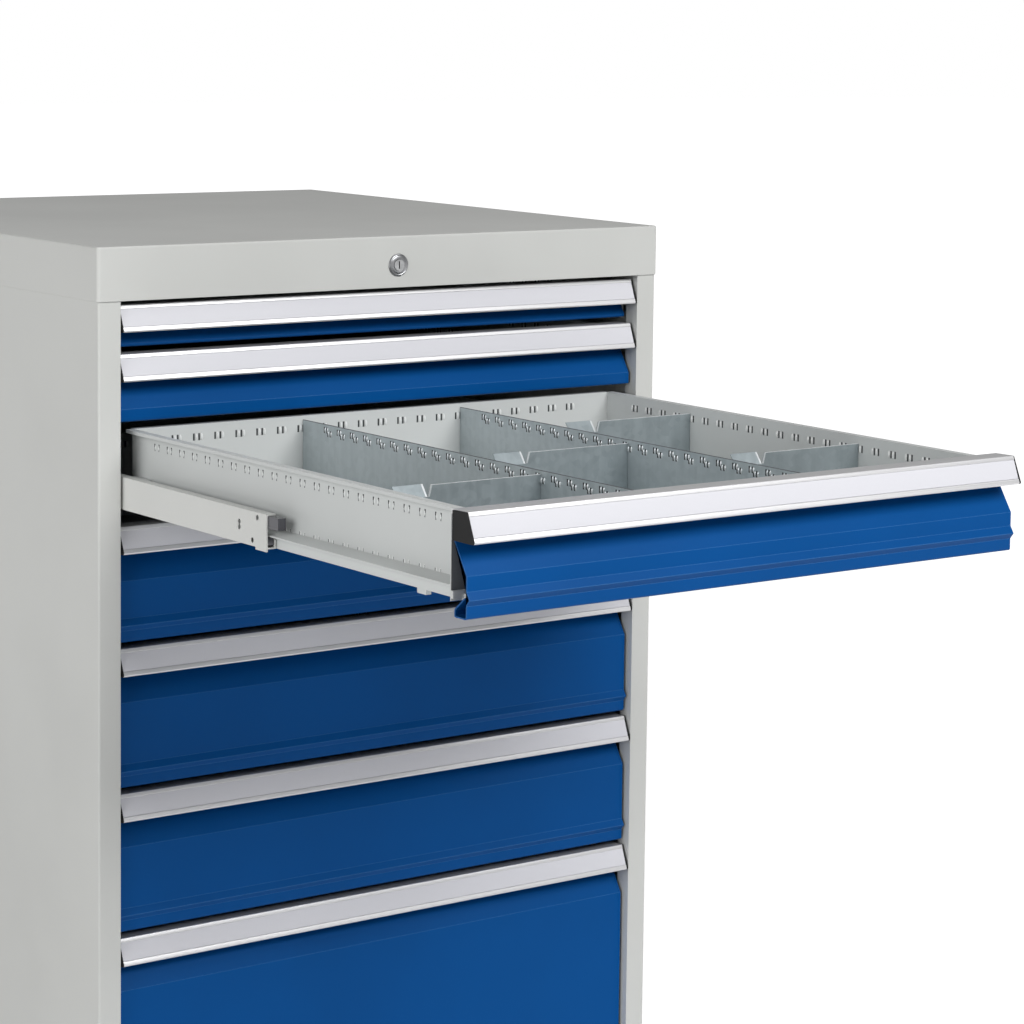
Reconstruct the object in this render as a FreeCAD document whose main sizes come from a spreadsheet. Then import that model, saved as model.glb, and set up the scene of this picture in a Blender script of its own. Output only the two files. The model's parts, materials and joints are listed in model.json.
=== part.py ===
import FreeCAD, Part
import math
import os
import Sketcher

# Drawer cabinet: seven drawers on two-stage roller slides, the third pulled right out.
# Millimetres. x runs across the front, y from front to back, z up.
# The origin is the middle of the footprint, on the floor.
# Pieces are drawn with y counted from the front of the cover, and drawer pieces with
# z counted from the top of their handle; each is then placed where it belongs.

DRAWERS = range(1, 8)
OPEN_DRAWER = 3

DIMENSIONS = {
    # Whole cabinet
    "width": 705,
    "depth": 736,
    "cover_height": 55,
    "cover_gap": 4.5,
    "pitch_1": 50,
    "pitch_2": 75,
    "pitch_3": 100,
    "pitch_4": 125,
    "pitch_5": 150,
    "pitch_6": 150,
    "pitch_7": 250,
    "base_gap": 2.5,
    "base_height": 57,
    "over_travel": 15,
    "slide_run": 280,
    # Housing
    "cover_sheet": 1.25,
    "cover_fit": 0.25,
    "cover_corner": 4,
    "cover_edge": 1.75,
    "body_sheet": 1.25,
    "panel_fit": 0.25,
    "post_width": 25,
    "post_return": 20,
    "rear_flange": 20,
    "base_sheet": 1.25,
    # Slides, counted from the inner face of a side panel and up from the drawer's floor
    "upright_depth": 8.75,
    "upright_width": 30,
    "upright_inset": 28,
    "upright_rear": 83,
    "upright_top": 19,
    "slide_sheet": 1.5,
    "fixed_rail_width": 16,
    "fixed_rail_foot": 1,
    "fixed_rail_height": 31,
    "fixed_rail_inset": 22,
    "fixed_rail_rear": 86,
    "bracket_drop": 14,
    "bracket_length": 34,
    "fixed_roller_radius": 6,
    "fixed_roller_width": 8,
    "fixed_roller_inset": 45,
    "axle_radius": 2.5,
    "running_fit": 0.3,
    "slide_gap": 2,
    "mid_rail_width": 10.3,
    "mid_rail_height": 33,
    "mid_rail_lip": 8.8,
    "mid_rail_inset": 60,
    "mid_rail_rear": 91,
    "mid_rail_nose": 2.5,
    "mid_rail_nose_length": 20,
    "carrier_radius": 4.7,
    "carrier_width": 6.5,
    "carrier_inset": 5,
    "bumper_length": 30,
    "bumper_ahead": 18,
    "bumper_foot": 20,
    "bumper_width": 8.5,
    "rear_roller_width": 12,
    "rear_roller_inset": 20,
    "mid_rail_hole": 2.6,
    "hole_1_place": 17,
    "hole_1_level": 28,
    "hole_2_place": 26,
    "hole_2_level": 5.5,
    "hole_3_place": 50,
    "hole_3_level": 15,
    "hole_4_place": 50,
    "hole_4_level": 20,
    # Trays
    "tray_sheet": 1,
    "tray_front": 36,
    "tray_rear": 100,
    "tray_rise": 19,
    "rim_drop": 3,
    "rim_width": 7.5,
    "rim_lip": 3.5,
    "rail_gap": 10,
    "rail_width": 10,
    "rail_nose": 7.5,
    "rail_underside": 11.5,
    "rail_edge": 1.5,
    "rail_slant": 3,
    "rail_rear": 43,
    "ear_length": 32,
    "ear_setback": 3,
    "ear_foot": 12,
    "lug_inset": 90,
    "lug_length": 14,
    "lug_width": 5.5,
    "lug_drop": 4.5,
    "catch_reach": 18,
    "catch_level": 16,
    "catch_drop": 10,
    "catch_width": 8,
    "catch_offset": 1,
    "toe_length": 8,
    "toe_height": 6,
    # Fronts
    "front_sheet": 1.25,
    "front_gap": 6,
    "side_gap": 3,
    "recess_depth": 30,
    "recess_bottom": 27,
    "flange_drop": 4.5,
    "face_depth": 11,
    "slope_bottom": 56,
    "ridge_out": 4.5,
    "ridge_low": 12,
    "ridge_peak": 17.5,
    "ridge_high": 24.5,
    "return_depth": 18.5,
    "return_height": 7,
    "return_reach": 15,
    "return_rise": 12,
    # Handles
    "handle_top": 25,
    "handle_lean": 10,
    "handle_drop": 26,
    "handle_fall": 0.5,
    "handle_wall": 2.4,
    "handle_roof": 2.2,
    "handle_lip": 4.5,
    "handle_lip_drop": 1.3,
    "handle_lip_wall": 2,
    "handle_lip_chamfer": 1.2,
    "handle_leg": 12,
    "handle_leg_sheet": 1.5,
    "handle_seat": 1,
    "groove_top": 4,
    "groove_bottom": 22,
    "groove_depth": 0.9,
    "label_sheet": 0.5,
    "label_fit": 0.2,
    "cap_sheet": 1.5,
    "cap_inset": 0.4,
    # Dividers of the open drawer
    "divider_sheet": 1,
    "divider_fit": 0.3,
    "grid_pitch": 25,
    "long_divider_offset": 100,
    "long_divider_drop": 7,
    "cross_divider_drop": 10.5,
    "flap_length": 73,
    "flap_height": 11,
    "flap_lean": 8.5,
    "flap_taper": 10,
    "flap_notch": 4,
    # Lock
    "lock_offset": 3.5,
    "lock_drop": 31,
    "lock_ring": 12,
    "lock_ring_height": 2,
    "lock_barrel": 9.5,
    "lock_barrel_length": 26,
    "lock_hole_fit": 0.2,
    "lock_nut": 13.5,
    "lock_nut_height": 3,
    "lock_bore": 6.1,
    "plug_radius": 6.05,
    "plug_proud": 0.6,
    "plug_length": 29,
    "plug_collar": 8,
    "plug_collar_height": 2,
    "key_width": 1.6,
    "key_height": 8,
    "key_depth": 4,
    "rod_radius": 4,
    "rod_gap": 3.2,
    "crank": 8,
    "crank_sheet": 2.5,
    "crank_pin": 2,
    "crank_pin_length": 8,
    "pin_play": 0.7,
    "hanger_sheet": 1.5,
    "hanger_width": 26,
    "hanger_inset": 60,
    "lock_bar_sheet": 3,
    "lock_bar_width": 12,
    "lock_bar_gap": 10,
    "lock_bar_side": 2,
    "lock_bar_foot": 12,
    "lock_head_height": 30,
    "lug_height": 8,
    "lug_clearance": 1,
    "lug_reach": 11,
    "guide_sheet": 1.5,
    "guide_width": 32,
    "guide_height": 20,
    "guide_fit": 0.4,
    "guide_reach": 3,
    "guide_drop": 56,
    "guide_rise": 120,
}

# Cross dividers of the open drawer: compartment and place on the grid of lances.
CROSS_DIVIDERS = (("left", 7), ("middle", 12), ("right", 7), ("right", 18))

# Holes of a middle rail: each has its place behind the front end and its level above the
# drawer's floor in the table above.
MID_RAIL_HOLES = range(1, 5)

doc = FreeCAD.newDocument("drawer_cabinet")
sheet = doc.addObject("Spreadsheet::Sheet", "Dims")
nodes = []


class Size:
    """A length that carries its number and the sheet formula it comes from."""

    def __init__(self, value, formula=None):
        self.value = float(value)
        self.formula = formula or f"({self.value:.10g})"

    def __add__(self, other):
        other = as_size(other)
        return Size(self.value + other.value, f"({self.formula} + {other.formula})")

    def __sub__(self, other):
        other = as_size(other)
        return Size(self.value - other.value, f"({self.formula} - {other.formula})")

    def __mul__(self, other):
        other = as_size(other)
        return Size(self.value * other.value, f"({self.formula} * {other.formula})")

    def __truediv__(self, other):
        other = as_size(other)
        return Size(self.value / other.value, f"({self.formula} / {other.formula})")

    def __neg__(self):
        return Size(-self.value, f"(0 - {self.formula})")

    def __radd__(self, other):
        return as_size(other) + self

    def __rsub__(self, other):
        return as_size(other) - self

    def __rmul__(self, other):
        return as_size(other) * self


def as_size(value):
    return value if isinstance(value, Size) else Size(value)


class Sizes:
    """The driving dimensions, written to the sheet and read back by name."""

    def __init__(self, table):
        for row, (name, value) in enumerate(table.items(), start=1):
            sheet.set(f"A{row}", str(value))
            sheet.setAlias(f"A{row}", name)
            setattr(self, name, Size(value, f"Dims.{name}"))


dim = Sizes(DIMENSIONS)
doc.recompute()


# Places that several pieces share

def total(sizes):
    result = Size(0)
    for size in sizes:
        result = result + size
    return result


pitch = {k: getattr(dim, f"pitch_{k}") for k in DRAWERS}
handle_top = {k: dim.base_height + dim.base_gap + total(pitch[j] for j in DRAWERS if j >= k)
              for k in DRAWERS}
travel = dim.depth - dim.tray_front - dim.tray_rear + dim.over_travel
slide_travel = travel - dim.slide_run
pulled = {k: travel if k == OPEN_DRAWER else Size(0) for k in DRAWERS}
slide_pulled = {k: slide_travel if k == OPEN_DRAWER else Size(0) for k in DRAWERS}
front_height = {k: pitch[k] - dim.front_gap for k in DRAWERS}
tray_floor = {k: dim.tray_rise - pitch[k] for k in DRAWERS}

height = handle_top[1] + dim.cover_gap + dim.cover_height
cover_roof = height - dim.cover_sheet
cover_inside = dim.cover_sheet + dim.cover_fit
body_half = dim.width / 2 - cover_inside
body_front = cover_inside
body_back = dim.depth - cover_inside
body_corner = dim.cover_corner - cover_inside
wall_inner = body_half - dim.body_sheet
panel_half = wall_inner - dim.panel_fit
panel_back = body_back - dim.body_sheet
panel_front = panel_back - dim.body_sheet
post_inner = body_half - dim.post_width

rail_outer = wall_inner - dim.upright_depth
rail_tip = rail_outer - dim.fixed_rail_width
mid_outer = rail_tip - dim.slide_gap
mid_inner = mid_outer - dim.slide_sheet
mid_tip = mid_outer - dim.mid_rail_width
mid_back = dim.depth - dim.mid_rail_rear

front_half = post_inner - dim.side_gap
tray_back = dim.depth - dim.tray_rear
tray_side = mid_inner - dim.rail_width - dim.rail_gap
tray_half = tray_side - dim.tray_sheet
rim_half = tray_side + dim.rim_width
rail_web = tray_side + dim.rail_gap
rail_nose = rail_web + dim.rail_nose

lock_height = height - dim.lock_drop
lock_bar_front = tray_back + dim.tray_sheet + dim.lock_bar_gap
lock_bar_back = lock_bar_front + dim.lock_bar_sheet
half_turn_root = math.sqrt(0.5)
crank_side = dim.crank * half_turn_root
lock_lift = crank_side * 2


# Sketches, pads and primitives

NORMAL_SIGN = {"XY_Plane": 1, "XZ_Plane": -1, "YZ_Plane": 1}


def bind(target, path, size):
    target.setExpression(path, as_size(size).formula)


def new_body(name):
    return doc.addObject("PartDesign::Body", name)


def plane_of(body, role):
    return next(item for item in body.Origin.OriginFeatures if item.Role == role)


def new_sketch(body, name, plane, level):
    sketch = body.newObject("Sketcher::SketchObject", name)
    sketch.AttachmentSupport = [(plane_of(body, plane), "")]
    sketch.MapMode = "FlatFace"
    bind(sketch, "AttachmentOffset.Base.z", level * NORMAL_SIGN[plane])
    return sketch


def add_lines(sketch, points):
    """Closed run of lines through number pairs; returns the index of the first."""
    first = sketch.GeometryCount
    count = len(points)
    for i, (u, v) in enumerate(points):
        end = points[(i + 1) % count]
        line = Part.LineSegment(FreeCAD.Vector(u, v, 0), FreeCAD.Vector(end[0], end[1], 0))
        sketch.addGeometry(line, False)
    for i in range(count):
        joint = Sketcher.Constraint("Coincident", first + i, 2, first + (i + 1) % count, 1)
        sketch.addConstraint(joint)
    return first


def set_constraint(sketch, size, *terms):
    index = sketch.addConstraint(Sketcher.Constraint(*terms, size.value))
    bind(sketch, f"Constraints[{index}]", size)


def pin_point(sketch, line, point):
    set_constraint(sketch, as_size(point[0]), "DistanceX", -1, 1, line, 1)
    set_constraint(sketch, as_size(point[1]), "DistanceY", -1, 1, line, 1)


def number(value):
    return as_size(value).value


def outline(sketch, points):
    """Closed polygon whose corners are all given."""
    first = add_lines(sketch, [(number(u), number(v)) for u, v in points])
    for i, point in enumerate(points):
        pin_point(sketch, first + i, point)


def offset_point(points, i, distance):
    """Number pair that lies inside the bend at corner i of an open run."""
    def direction(a, b):
        du = b[0] - a[0]
        dv = b[1] - a[1]
        length = math.hypot(du, dv)
        return du / length, dv / length

    before = direction(points[max(i - 1, 0)], points[max(i, 1)])
    after = direction(points[min(i, len(points) - 2)], points[min(i + 1, len(points) - 1)])
    normal_a = (before[1], -before[0])
    normal_b = (after[1], -after[0])
    scale = distance / (1 + normal_a[0] * normal_b[0] + normal_a[1] * normal_b[1])
    return (points[i][0] + (normal_a[0] + normal_b[0]) * scale,
            points[i][1] + (normal_a[1] + normal_b[1]) * scale)


def folded_sheet(sketch, points, thickness):
    """Sheet of one thickness folded along an open run; it lies right of the run."""
    run = [(number(u), number(v)) for u, v in points]
    inner = [offset_point(run, i, thickness.value) for i in range(len(run))]
    first = add_lines(sketch, run + inner[::-1])
    last = len(run) - 1
    for i, point in enumerate(points):
        pin_point(sketch, first + i, point)
    for i in range(len(run)):
        inner_line = first + 2 * last + 1 - i
        for segment in {max(i - 1, 0), min(i, last - 1)}:
            set_constraint(sketch, thickness, "Distance", inner_line, 1, first + segment)
    sketch.addConstraint(Sketcher.Constraint("Perpendicular", first + last, first + last - 1))
    sketch.addConstraint(Sketcher.Constraint("Perpendicular", first + 2 * last + 1, first))


def pad(body, name, sketch, length):
    feature = body.newObject("PartDesign::Pad", name)
    feature.Profile = sketch
    feature.Reversed = sketch.AttachmentSupport[0][0].Role == "XZ_Plane"
    bind(feature, "Length", length)
    sketch.Visibility = False
    return feature


def prism(body, name, plane, points, start, end):
    """Polygon padded from start to end along the axis its plane is square to."""
    sketch = new_sketch(body, f"{name}_outline", plane, as_size(start))
    outline(sketch, points)
    return pad(body, name, sketch, as_size(end) - start)


def sheet_prism(body, name, plane, points, thickness, start, end):
    sketch = new_sketch(body, f"{name}_outline", plane, as_size(start))
    folded_sheet(sketch, points, thickness)
    return pad(body, name, sketch, as_size(end) - start)


def box_prism(body, name, x, y, z):
    corners = [(x[0], y[0]), (x[1], y[0]), (x[1], y[1]), (x[0], y[1])]
    return prism(body, name, "XY_Plane", corners, z[0], z[1])


def mirror_features(body, name, features):
    """Repeats pads of a body on its other side."""
    feature = body.newObject("PartDesign::Mirrored", name)
    feature.Originals = features
    feature.MirrorPlane = (plane_of(body, "YZ_Plane"), [""])
    body.Tip = feature
    return feature


def pocket(body, name, sketch, length):
    """Cuts along the sketch's plane normal axis, towards larger x, y or z."""
    feature = body.newObject("PartDesign::Pocket", name)
    feature.Profile = sketch
    feature.Reversed = sketch.AttachmentSupport[0][0].Role != "XZ_Plane"
    bind(feature, "Length", length)
    sketch.Visibility = False
    before = feature.BaseFeature.Shape.Volume
    doc.recompute()
    if feature.Shape.Volume >= before:
        raise RuntimeError(f"{name} cuts nothing")
    return feature


def circle(sketch, u, v, radius):
    centre = FreeCAD.Vector(number(u), number(v), 0)
    index = sketch.addGeometry(Part.Circle(centre, FreeCAD.Vector(0, 0, 1), number(radius)))
    set_constraint(sketch, as_size(u), "DistanceX", -1, 1, index, 3)
    set_constraint(sketch, as_size(v), "DistanceY", -1, 1, index, 3)
    set_constraint(sketch, as_size(radius), "Radius", index)


def box(name, x, y, z):
    """Block between two places on each axis."""
    block = doc.addObject("Part::Box", name)
    for path, (low, high) in zip(("Length", "Width", "Height"), (x, y, z)):
        bind(block, path, as_size(high) - low)
    for axis, (low, _) in zip("xyz", (x, y, z)):
        bind(block, f"Placement.Base.{axis}", low)
    return block


TURN_TO = {
    "x": FreeCAD.Rotation(FreeCAD.Vector(0, 1, 0), 90),
    "y": FreeCAD.Rotation(FreeCAD.Vector(1, 0, 0), -90),
}


def rod(name, axis, start, end, across, radius):
    """Cylinder along x or y from start to end; across gives its other two places."""
    cylinder = doc.addObject("Part::Cylinder", name)
    cylinder.Placement = FreeCAD.Placement(FreeCAD.Vector(), TURN_TO[axis])
    bind(cylinder, "Radius", radius)
    bind(cylinder, "Height", as_size(end) - start)
    others = [letter for letter in "xyz" if letter != axis]
    bind(cylinder, f"Placement.Base.{axis}", start)
    for letter, place in zip(others, across):
        bind(cylinder, f"Placement.Base.{letter}", place)
    return cylinder


def fuse(name, parts):
    result = doc.addObject("Part::MultiFuse", name)
    result.Shapes = parts
    return result


def cut(name, base, tool):
    result = doc.addObject("Part::Cut", name)
    result.Base = base
    result.Tool = tool
    return result


def group(name, parts):
    """Separate solids that share one node."""
    result = doc.addObject("Part::Compound", name)
    result.Links = parts
    return result


def mirrored(part):
    result = doc.addObject("Part::Mirroring", f"{part.Name}_left")
    result.Source = part
    result.Normal = FreeCAD.Vector(1, 0, 0)
    return result


def both_sides(name, parts):
    return group(name, parts + [mirrored(part) for part in parts])


def finish(part, label, up=0, out=0):
    """Names a node and places it: up from the floor, and out of the front."""
    part.Label = label
    bind(part, "Placement.Base.y", -(dim.depth / 2) - out)
    bind(part, "Placement.Base.z", up)
    nodes.append(part)


def edges_where(feature, test):
    doc.recompute()
    return [f"Edge{i}" for i, edge in enumerate(feature.Shape.Edges, start=1) if test(edge)]


def fillet(body, name, base, names, radius):
    feature = body.newObject("PartDesign::Fillet", name)
    feature.Base = (base, names)
    bind(feature, "Radius", radius)
    return feature


# Housing

def is_vertical(edge):
    start, end = edge.Vertexes[0].Point, edge.Vertexes[-1].Point
    return abs(start.x - end.x) < 1e-6 and abs(start.y - end.y) < 1e-6


def stands_at(x, places):
    """Test for the upright edges at one x and any of the given places in y."""
    def test(edge):
        point = edge.Vertexes[0].Point
        return (is_vertical(edge) and abs(point.x - x.value) < 1e-6
                and any(abs(point.y - place.value) < 1e-6 for place in places))
    return test


def lies_at(level):
    def test(edge):
        return all(abs(vertex.Z - level.value) < 1e-6 for vertex in edge.Vertexes)
    return test


def rounded_block(body, name, x, y, z, corner, edge):
    """Block with rounded upright corners and a rounded top edge."""
    block = box_prism(body, name, x, y, z)
    upright = edges_where(block, is_vertical)
    corners = fillet(body, f"{name}_corners", block, upright, corner)
    rim = edges_where(corners, lies_at(z[1]))
    return fillet(body, f"{name}_edges", corners, rim, edge)


def make_top_cover():
    """Pan that sits upside down over the housing, with the lock in its front."""
    bottom = height - dim.cover_height
    outside = new_body("cover_outside")
    half = dim.width / 2
    rounded_block(outside, "cover_block", (-half, half), (0, dim.depth), (bottom, height),
                  dim.cover_corner, dim.cover_edge)
    inside = new_body("cover_inside")
    inner = half - dim.cover_sheet
    rounded_block(inside, "cover_hollow", (-inner, inner),
                  (dim.cover_sheet, dim.depth - dim.cover_sheet), (bottom - dim.cover_sheet, cover_roof),
                  dim.cover_corner - dim.cover_sheet, dim.cover_edge - dim.cover_sheet)
    shell = cut("cover_shell", outside, inside)
    hole = rod("cover_lock_hole", "y", -dim.cover_sheet, dim.cover_sheet * 2,
               (dim.lock_offset, lock_height), dim.lock_barrel + dim.lock_hole_fit)
    pan = cut("cover_pan", shell, hole)
    hanger_back = lock_bar_front - dim.hanger_inset
    hanger = cut(
        "rod_hanger",
        box("rod_hanger_plate",
            (dim.lock_offset - dim.hanger_width / 2, dim.lock_offset + dim.hanger_width / 2),
            (hanger_back - dim.hanger_sheet, hanger_back),
            (lock_height - dim.hanger_width / 2, cover_roof)),
        rod("rod_hanger_hole", "y", hanger_back - dim.hanger_sheet * 2,
            hanger_back + dim.hanger_sheet, (dim.lock_offset, lock_height),
            dim.rod_radius + dim.running_fit))
    finish(group("cover_group", [pan, hanger]), "top_cover")


def make_side_panels():
    """Right side panel with its front post and rear flange, and its mirror image."""
    body = new_body("side_panel")
    run = [(post_inner, body_front + dim.post_return), (post_inner, body_front),
           (body_half, body_front), (body_half, body_back),
           (body_half - dim.rear_flange, body_back)]
    folds = sheet_prism(body, "side_panel_sheet", "XY_Plane", run[::-1], dim.body_sheet, 0,
                        cover_roof - dim.panel_fit)
    outer = edges_where(folds, stands_at(body_half, (body_front, body_back)))
    bends = fillet(body, "side_panel_bends", folds, outer, body_corner)
    lining = (body_front + dim.body_sheet, body_back - dim.body_sheet)
    inner = edges_where(bends, stands_at(wall_inner, lining))
    fillet(body, "side_panel_inner_bends", bends, inner, body_corner - dim.body_sheet)
    finish(group("right_side", [body]), "right_side_panel")
    finish(group("left_side", [mirrored(body)]), "left_side_panel")


def make_back_panel():
    """Flat back with the two brackets that guide the lock bar."""
    half = wall_inner - (body_corner - dim.body_sheet)
    plate = box("back_plate", (-half, half), (panel_front, panel_back),
                (dim.panel_fit, cover_roof - dim.panel_fit))
    bar_right = dim.lock_offset - dim.lock_bar_side
    bar_left = bar_right - dim.lock_bar_width
    middle = (bar_left + bar_right) / 2
    x = (middle - dim.guide_width / 2, middle + dim.guide_width / 2)
    reach = lock_bar_front - dim.guide_reach
    levels = {"upper": height - dim.guide_drop,
              "lower": handle_top[7] + tray_floor[7] + dim.guide_rise}
    brackets = []
    for name, level in levels.items():
        ledge = box(f"{name}_guide_ledge", x, (reach, panel_front),
                    (level - dim.guide_sheet, level))
        foot = box(f"{name}_guide_foot", x, (panel_front - dim.guide_sheet, panel_front),
                   (level - dim.guide_height, level))
        window = box(f"{name}_guide_window",
                     (bar_left - dim.guide_fit, bar_right + dim.guide_fit),
                     (lock_bar_front - dim.guide_fit, lock_bar_back + dim.guide_fit),
                     (level - dim.guide_height, level + dim.guide_sheet))
        brackets.append(cut(f"{name}_guide", fuse(f"{name}_guide_blank", [ledge, foot]), window))
    finish(fuse("back_fuse", [plate] + brackets), "back_panel")


def tee(front_half_width, rear_half_width, front, step, back):
    return [(-front_half_width, front), (front_half_width, front), (front_half_width, step),
            (rear_half_width, step), (rear_half_width, back), (-rear_half_width, back),
            (-rear_half_width, step), (-front_half_width, step)]


def make_base():
    """Pan under the drawers: its sill fills the front between the posts."""
    body = new_body("base")
    wall = dim.base_sheet
    sill_half = post_inner - dim.panel_fit
    step = body_front + dim.post_return + dim.panel_fit
    back = panel_front - dim.panel_fit
    prism(body, "base_block", "XY_Plane",
          tee(sill_half, panel_half, body_front, step, back), 0, dim.base_height)
    doc.recompute()
    sketch = new_sketch(body, "base_hollow_outline", "XY_Plane", wall)
    outline(sketch, tee(sill_half - wall, panel_half - wall, body_front + wall, step + wall,
                        back - wall))
    pocket(body, "base_hollow", sketch, dim.base_height)
    finish(body, "base")


# Slides

def fixed_rail(k):
    """Right fixed rail of one drawer, with the bracket of its front roller."""
    body = new_body(f"fixed_rail_{k}")
    foot = dim.fixed_rail_foot
    top = foot + dim.fixed_rail_height
    run = [(rail_tip, foot), (rail_outer, foot), (rail_outer, top), (rail_tip, top)]
    back = dim.depth - dim.fixed_rail_rear
    sheet_prism(body, f"fixed_rail_{k}_channel", "XZ_Plane", run[::-1], dim.slide_sheet,
                dim.fixed_rail_inset, back)
    middle = dim.fixed_roller_inset
    box_prism(body, f"fixed_rail_{k}_bracket", (rail_tip, rail_tip + dim.slide_sheet),
              (middle - dim.bracket_length / 2, middle + dim.bracket_length / 2),
              (-dim.bracket_drop, foot + dim.slide_sheet))
    bind(body, "Placement.Base.z", handle_top[k] + tray_floor[k])
    return body


def make_runner_frames():
    """Uprights on the side panels and the fixed rails of all drawers."""
    parts = []
    rear = dim.depth - dim.upright_rear - dim.upright_width
    for name, near in (("front", dim.upright_inset), ("rear", rear)):
        body = new_body(f"{name}_upright")
        far = near + dim.upright_width
        run = [(wall_inner, near), (rail_outer, near), (rail_outer, far), (wall_inner, far)]
        sheet_prism(body, f"{name}_upright_channel", "XY_Plane", run, dim.slide_sheet,
                    dim.base_height, height - dim.upright_top)
        parts.append(body)
    parts += [fixed_rail(k) for k in DRAWERS]
    finish(both_sides("runner_group", parts), "runner_frames")


def roller(name, x, y, z, radius, axle_end):
    """Roller along x with a stub axle that runs on to the rail that holds it."""
    wheel = rod(f"{name}_wheel", "x", x[0], x[1], (y, z), radius)
    axle = rod(f"{name}_axle", "x", x[1], axle_end, (y, z), dim.axle_radius)
    return fuse(name, [wheel, axle])


def make_fixed_rollers():
    """Front rollers that carry the middle rails."""
    parts = []
    inner = mid_inner - dim.running_fit - dim.fixed_roller_width
    for k in DRAWERS:
        level = (handle_top[k] + tray_floor[k] - dim.running_fit - dim.fixed_roller_radius)
        parts.append(roller(f"fixed_roller_{k}", (inner, inner + dim.fixed_roller_width),
                            dim.fixed_roller_inset, level, dim.fixed_roller_radius, rail_tip))
    finish(both_sides("fixed_roller_group", parts), "fixed_rollers")


def make_mid_rails(k):
    """Middle rails of one drawer: they carry it out and come out with it."""
    body = new_body(f"mid_rail_{k}")
    run = [(mid_tip, dim.mid_rail_lip), (mid_tip, 0), (mid_outer, 0),
           (mid_outer, dim.mid_rail_height), (mid_tip, dim.mid_rail_height)]
    sheet_prism(body, f"mid_rail_{k}_channel", "XZ_Plane", run[::-1], dim.slide_sheet,
                dim.mid_rail_inset, mid_back)
    box_prism(body, f"mid_rail_{k}_nose", (mid_inner, mid_outer),
              (dim.mid_rail_inset, dim.mid_rail_inset + dim.mid_rail_nose_length),
              (-dim.mid_rail_nose, dim.slide_sheet))
    doc.recompute()
    sketch = new_sketch(body, f"mid_rail_{k}_hole_outlines", "YZ_Plane",
                        mid_inner - dim.slide_sheet / 2)
    for hole in MID_RAIL_HOLES:
        circle(sketch, dim.mid_rail_inset + getattr(dim, f"hole_{hole}_place"),
               getattr(dim, f"hole_{hole}_level"), dim.mid_rail_hole)
    pocket(body, f"mid_rail_{k}_holes", sketch, dim.slide_sheet * 2)
    finish(both_sides(f"mid_rail_group_{k}", [body]), f"drawer_{k}_mid_rails",
           handle_top[k] + tray_floor[k], slide_pulled[k])


def make_slide_rollers(k):
    """Wheels on the middle rails: front carrier, bumper above it, rear roller."""
    floor = dim.slide_sheet + dim.running_fit
    end = dim.mid_rail_inset
    carrier = roller(f"carrier_{k}",
                     (mid_inner - dim.running_fit - dim.carrier_width,
                      mid_inner - dim.running_fit),
                     end + dim.carrier_inset, floor + dim.carrier_radius,
                     dim.carrier_radius, mid_inner)
    bumper = box(f"bumper_{k}", (mid_inner - dim.bumper_width, mid_inner),
                 (end - dim.bumper_ahead, end - dim.bumper_ahead + dim.bumper_length),
                 (dim.bumper_foot, dim.mid_rail_height - dim.slide_sheet))
    radius = (dim.fixed_rail_height - dim.slide_sheet * 2) / 2 - dim.running_fit
    level = dim.fixed_rail_foot + dim.fixed_rail_height / 2
    inner = rail_tip + dim.running_fit * 2
    y = mid_back - dim.rear_roller_inset
    wheel = rod(f"rear_wheel_{k}", "x", inner, inner + dim.rear_roller_width, (y, level), radius)
    axle = rod(f"rear_axle_{k}", "x", mid_outer, inner, (y, level), dim.axle_radius * 2)
    rear = fuse(f"rear_roller_{k}", [wheel, axle])
    finish(both_sides(f"slide_roller_group_{k}", [carrier, bumper, rear]),
           f"drawer_{k}_slide_rollers", handle_top[k] + tray_floor[k], slide_pulled[k])


# Drawers

def face_place(drop):
    """Distance of the handle's front face behind the cover's front, at a drop."""
    return dim.handle_lean - dim.handle_lean * drop / dim.handle_drop


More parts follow.
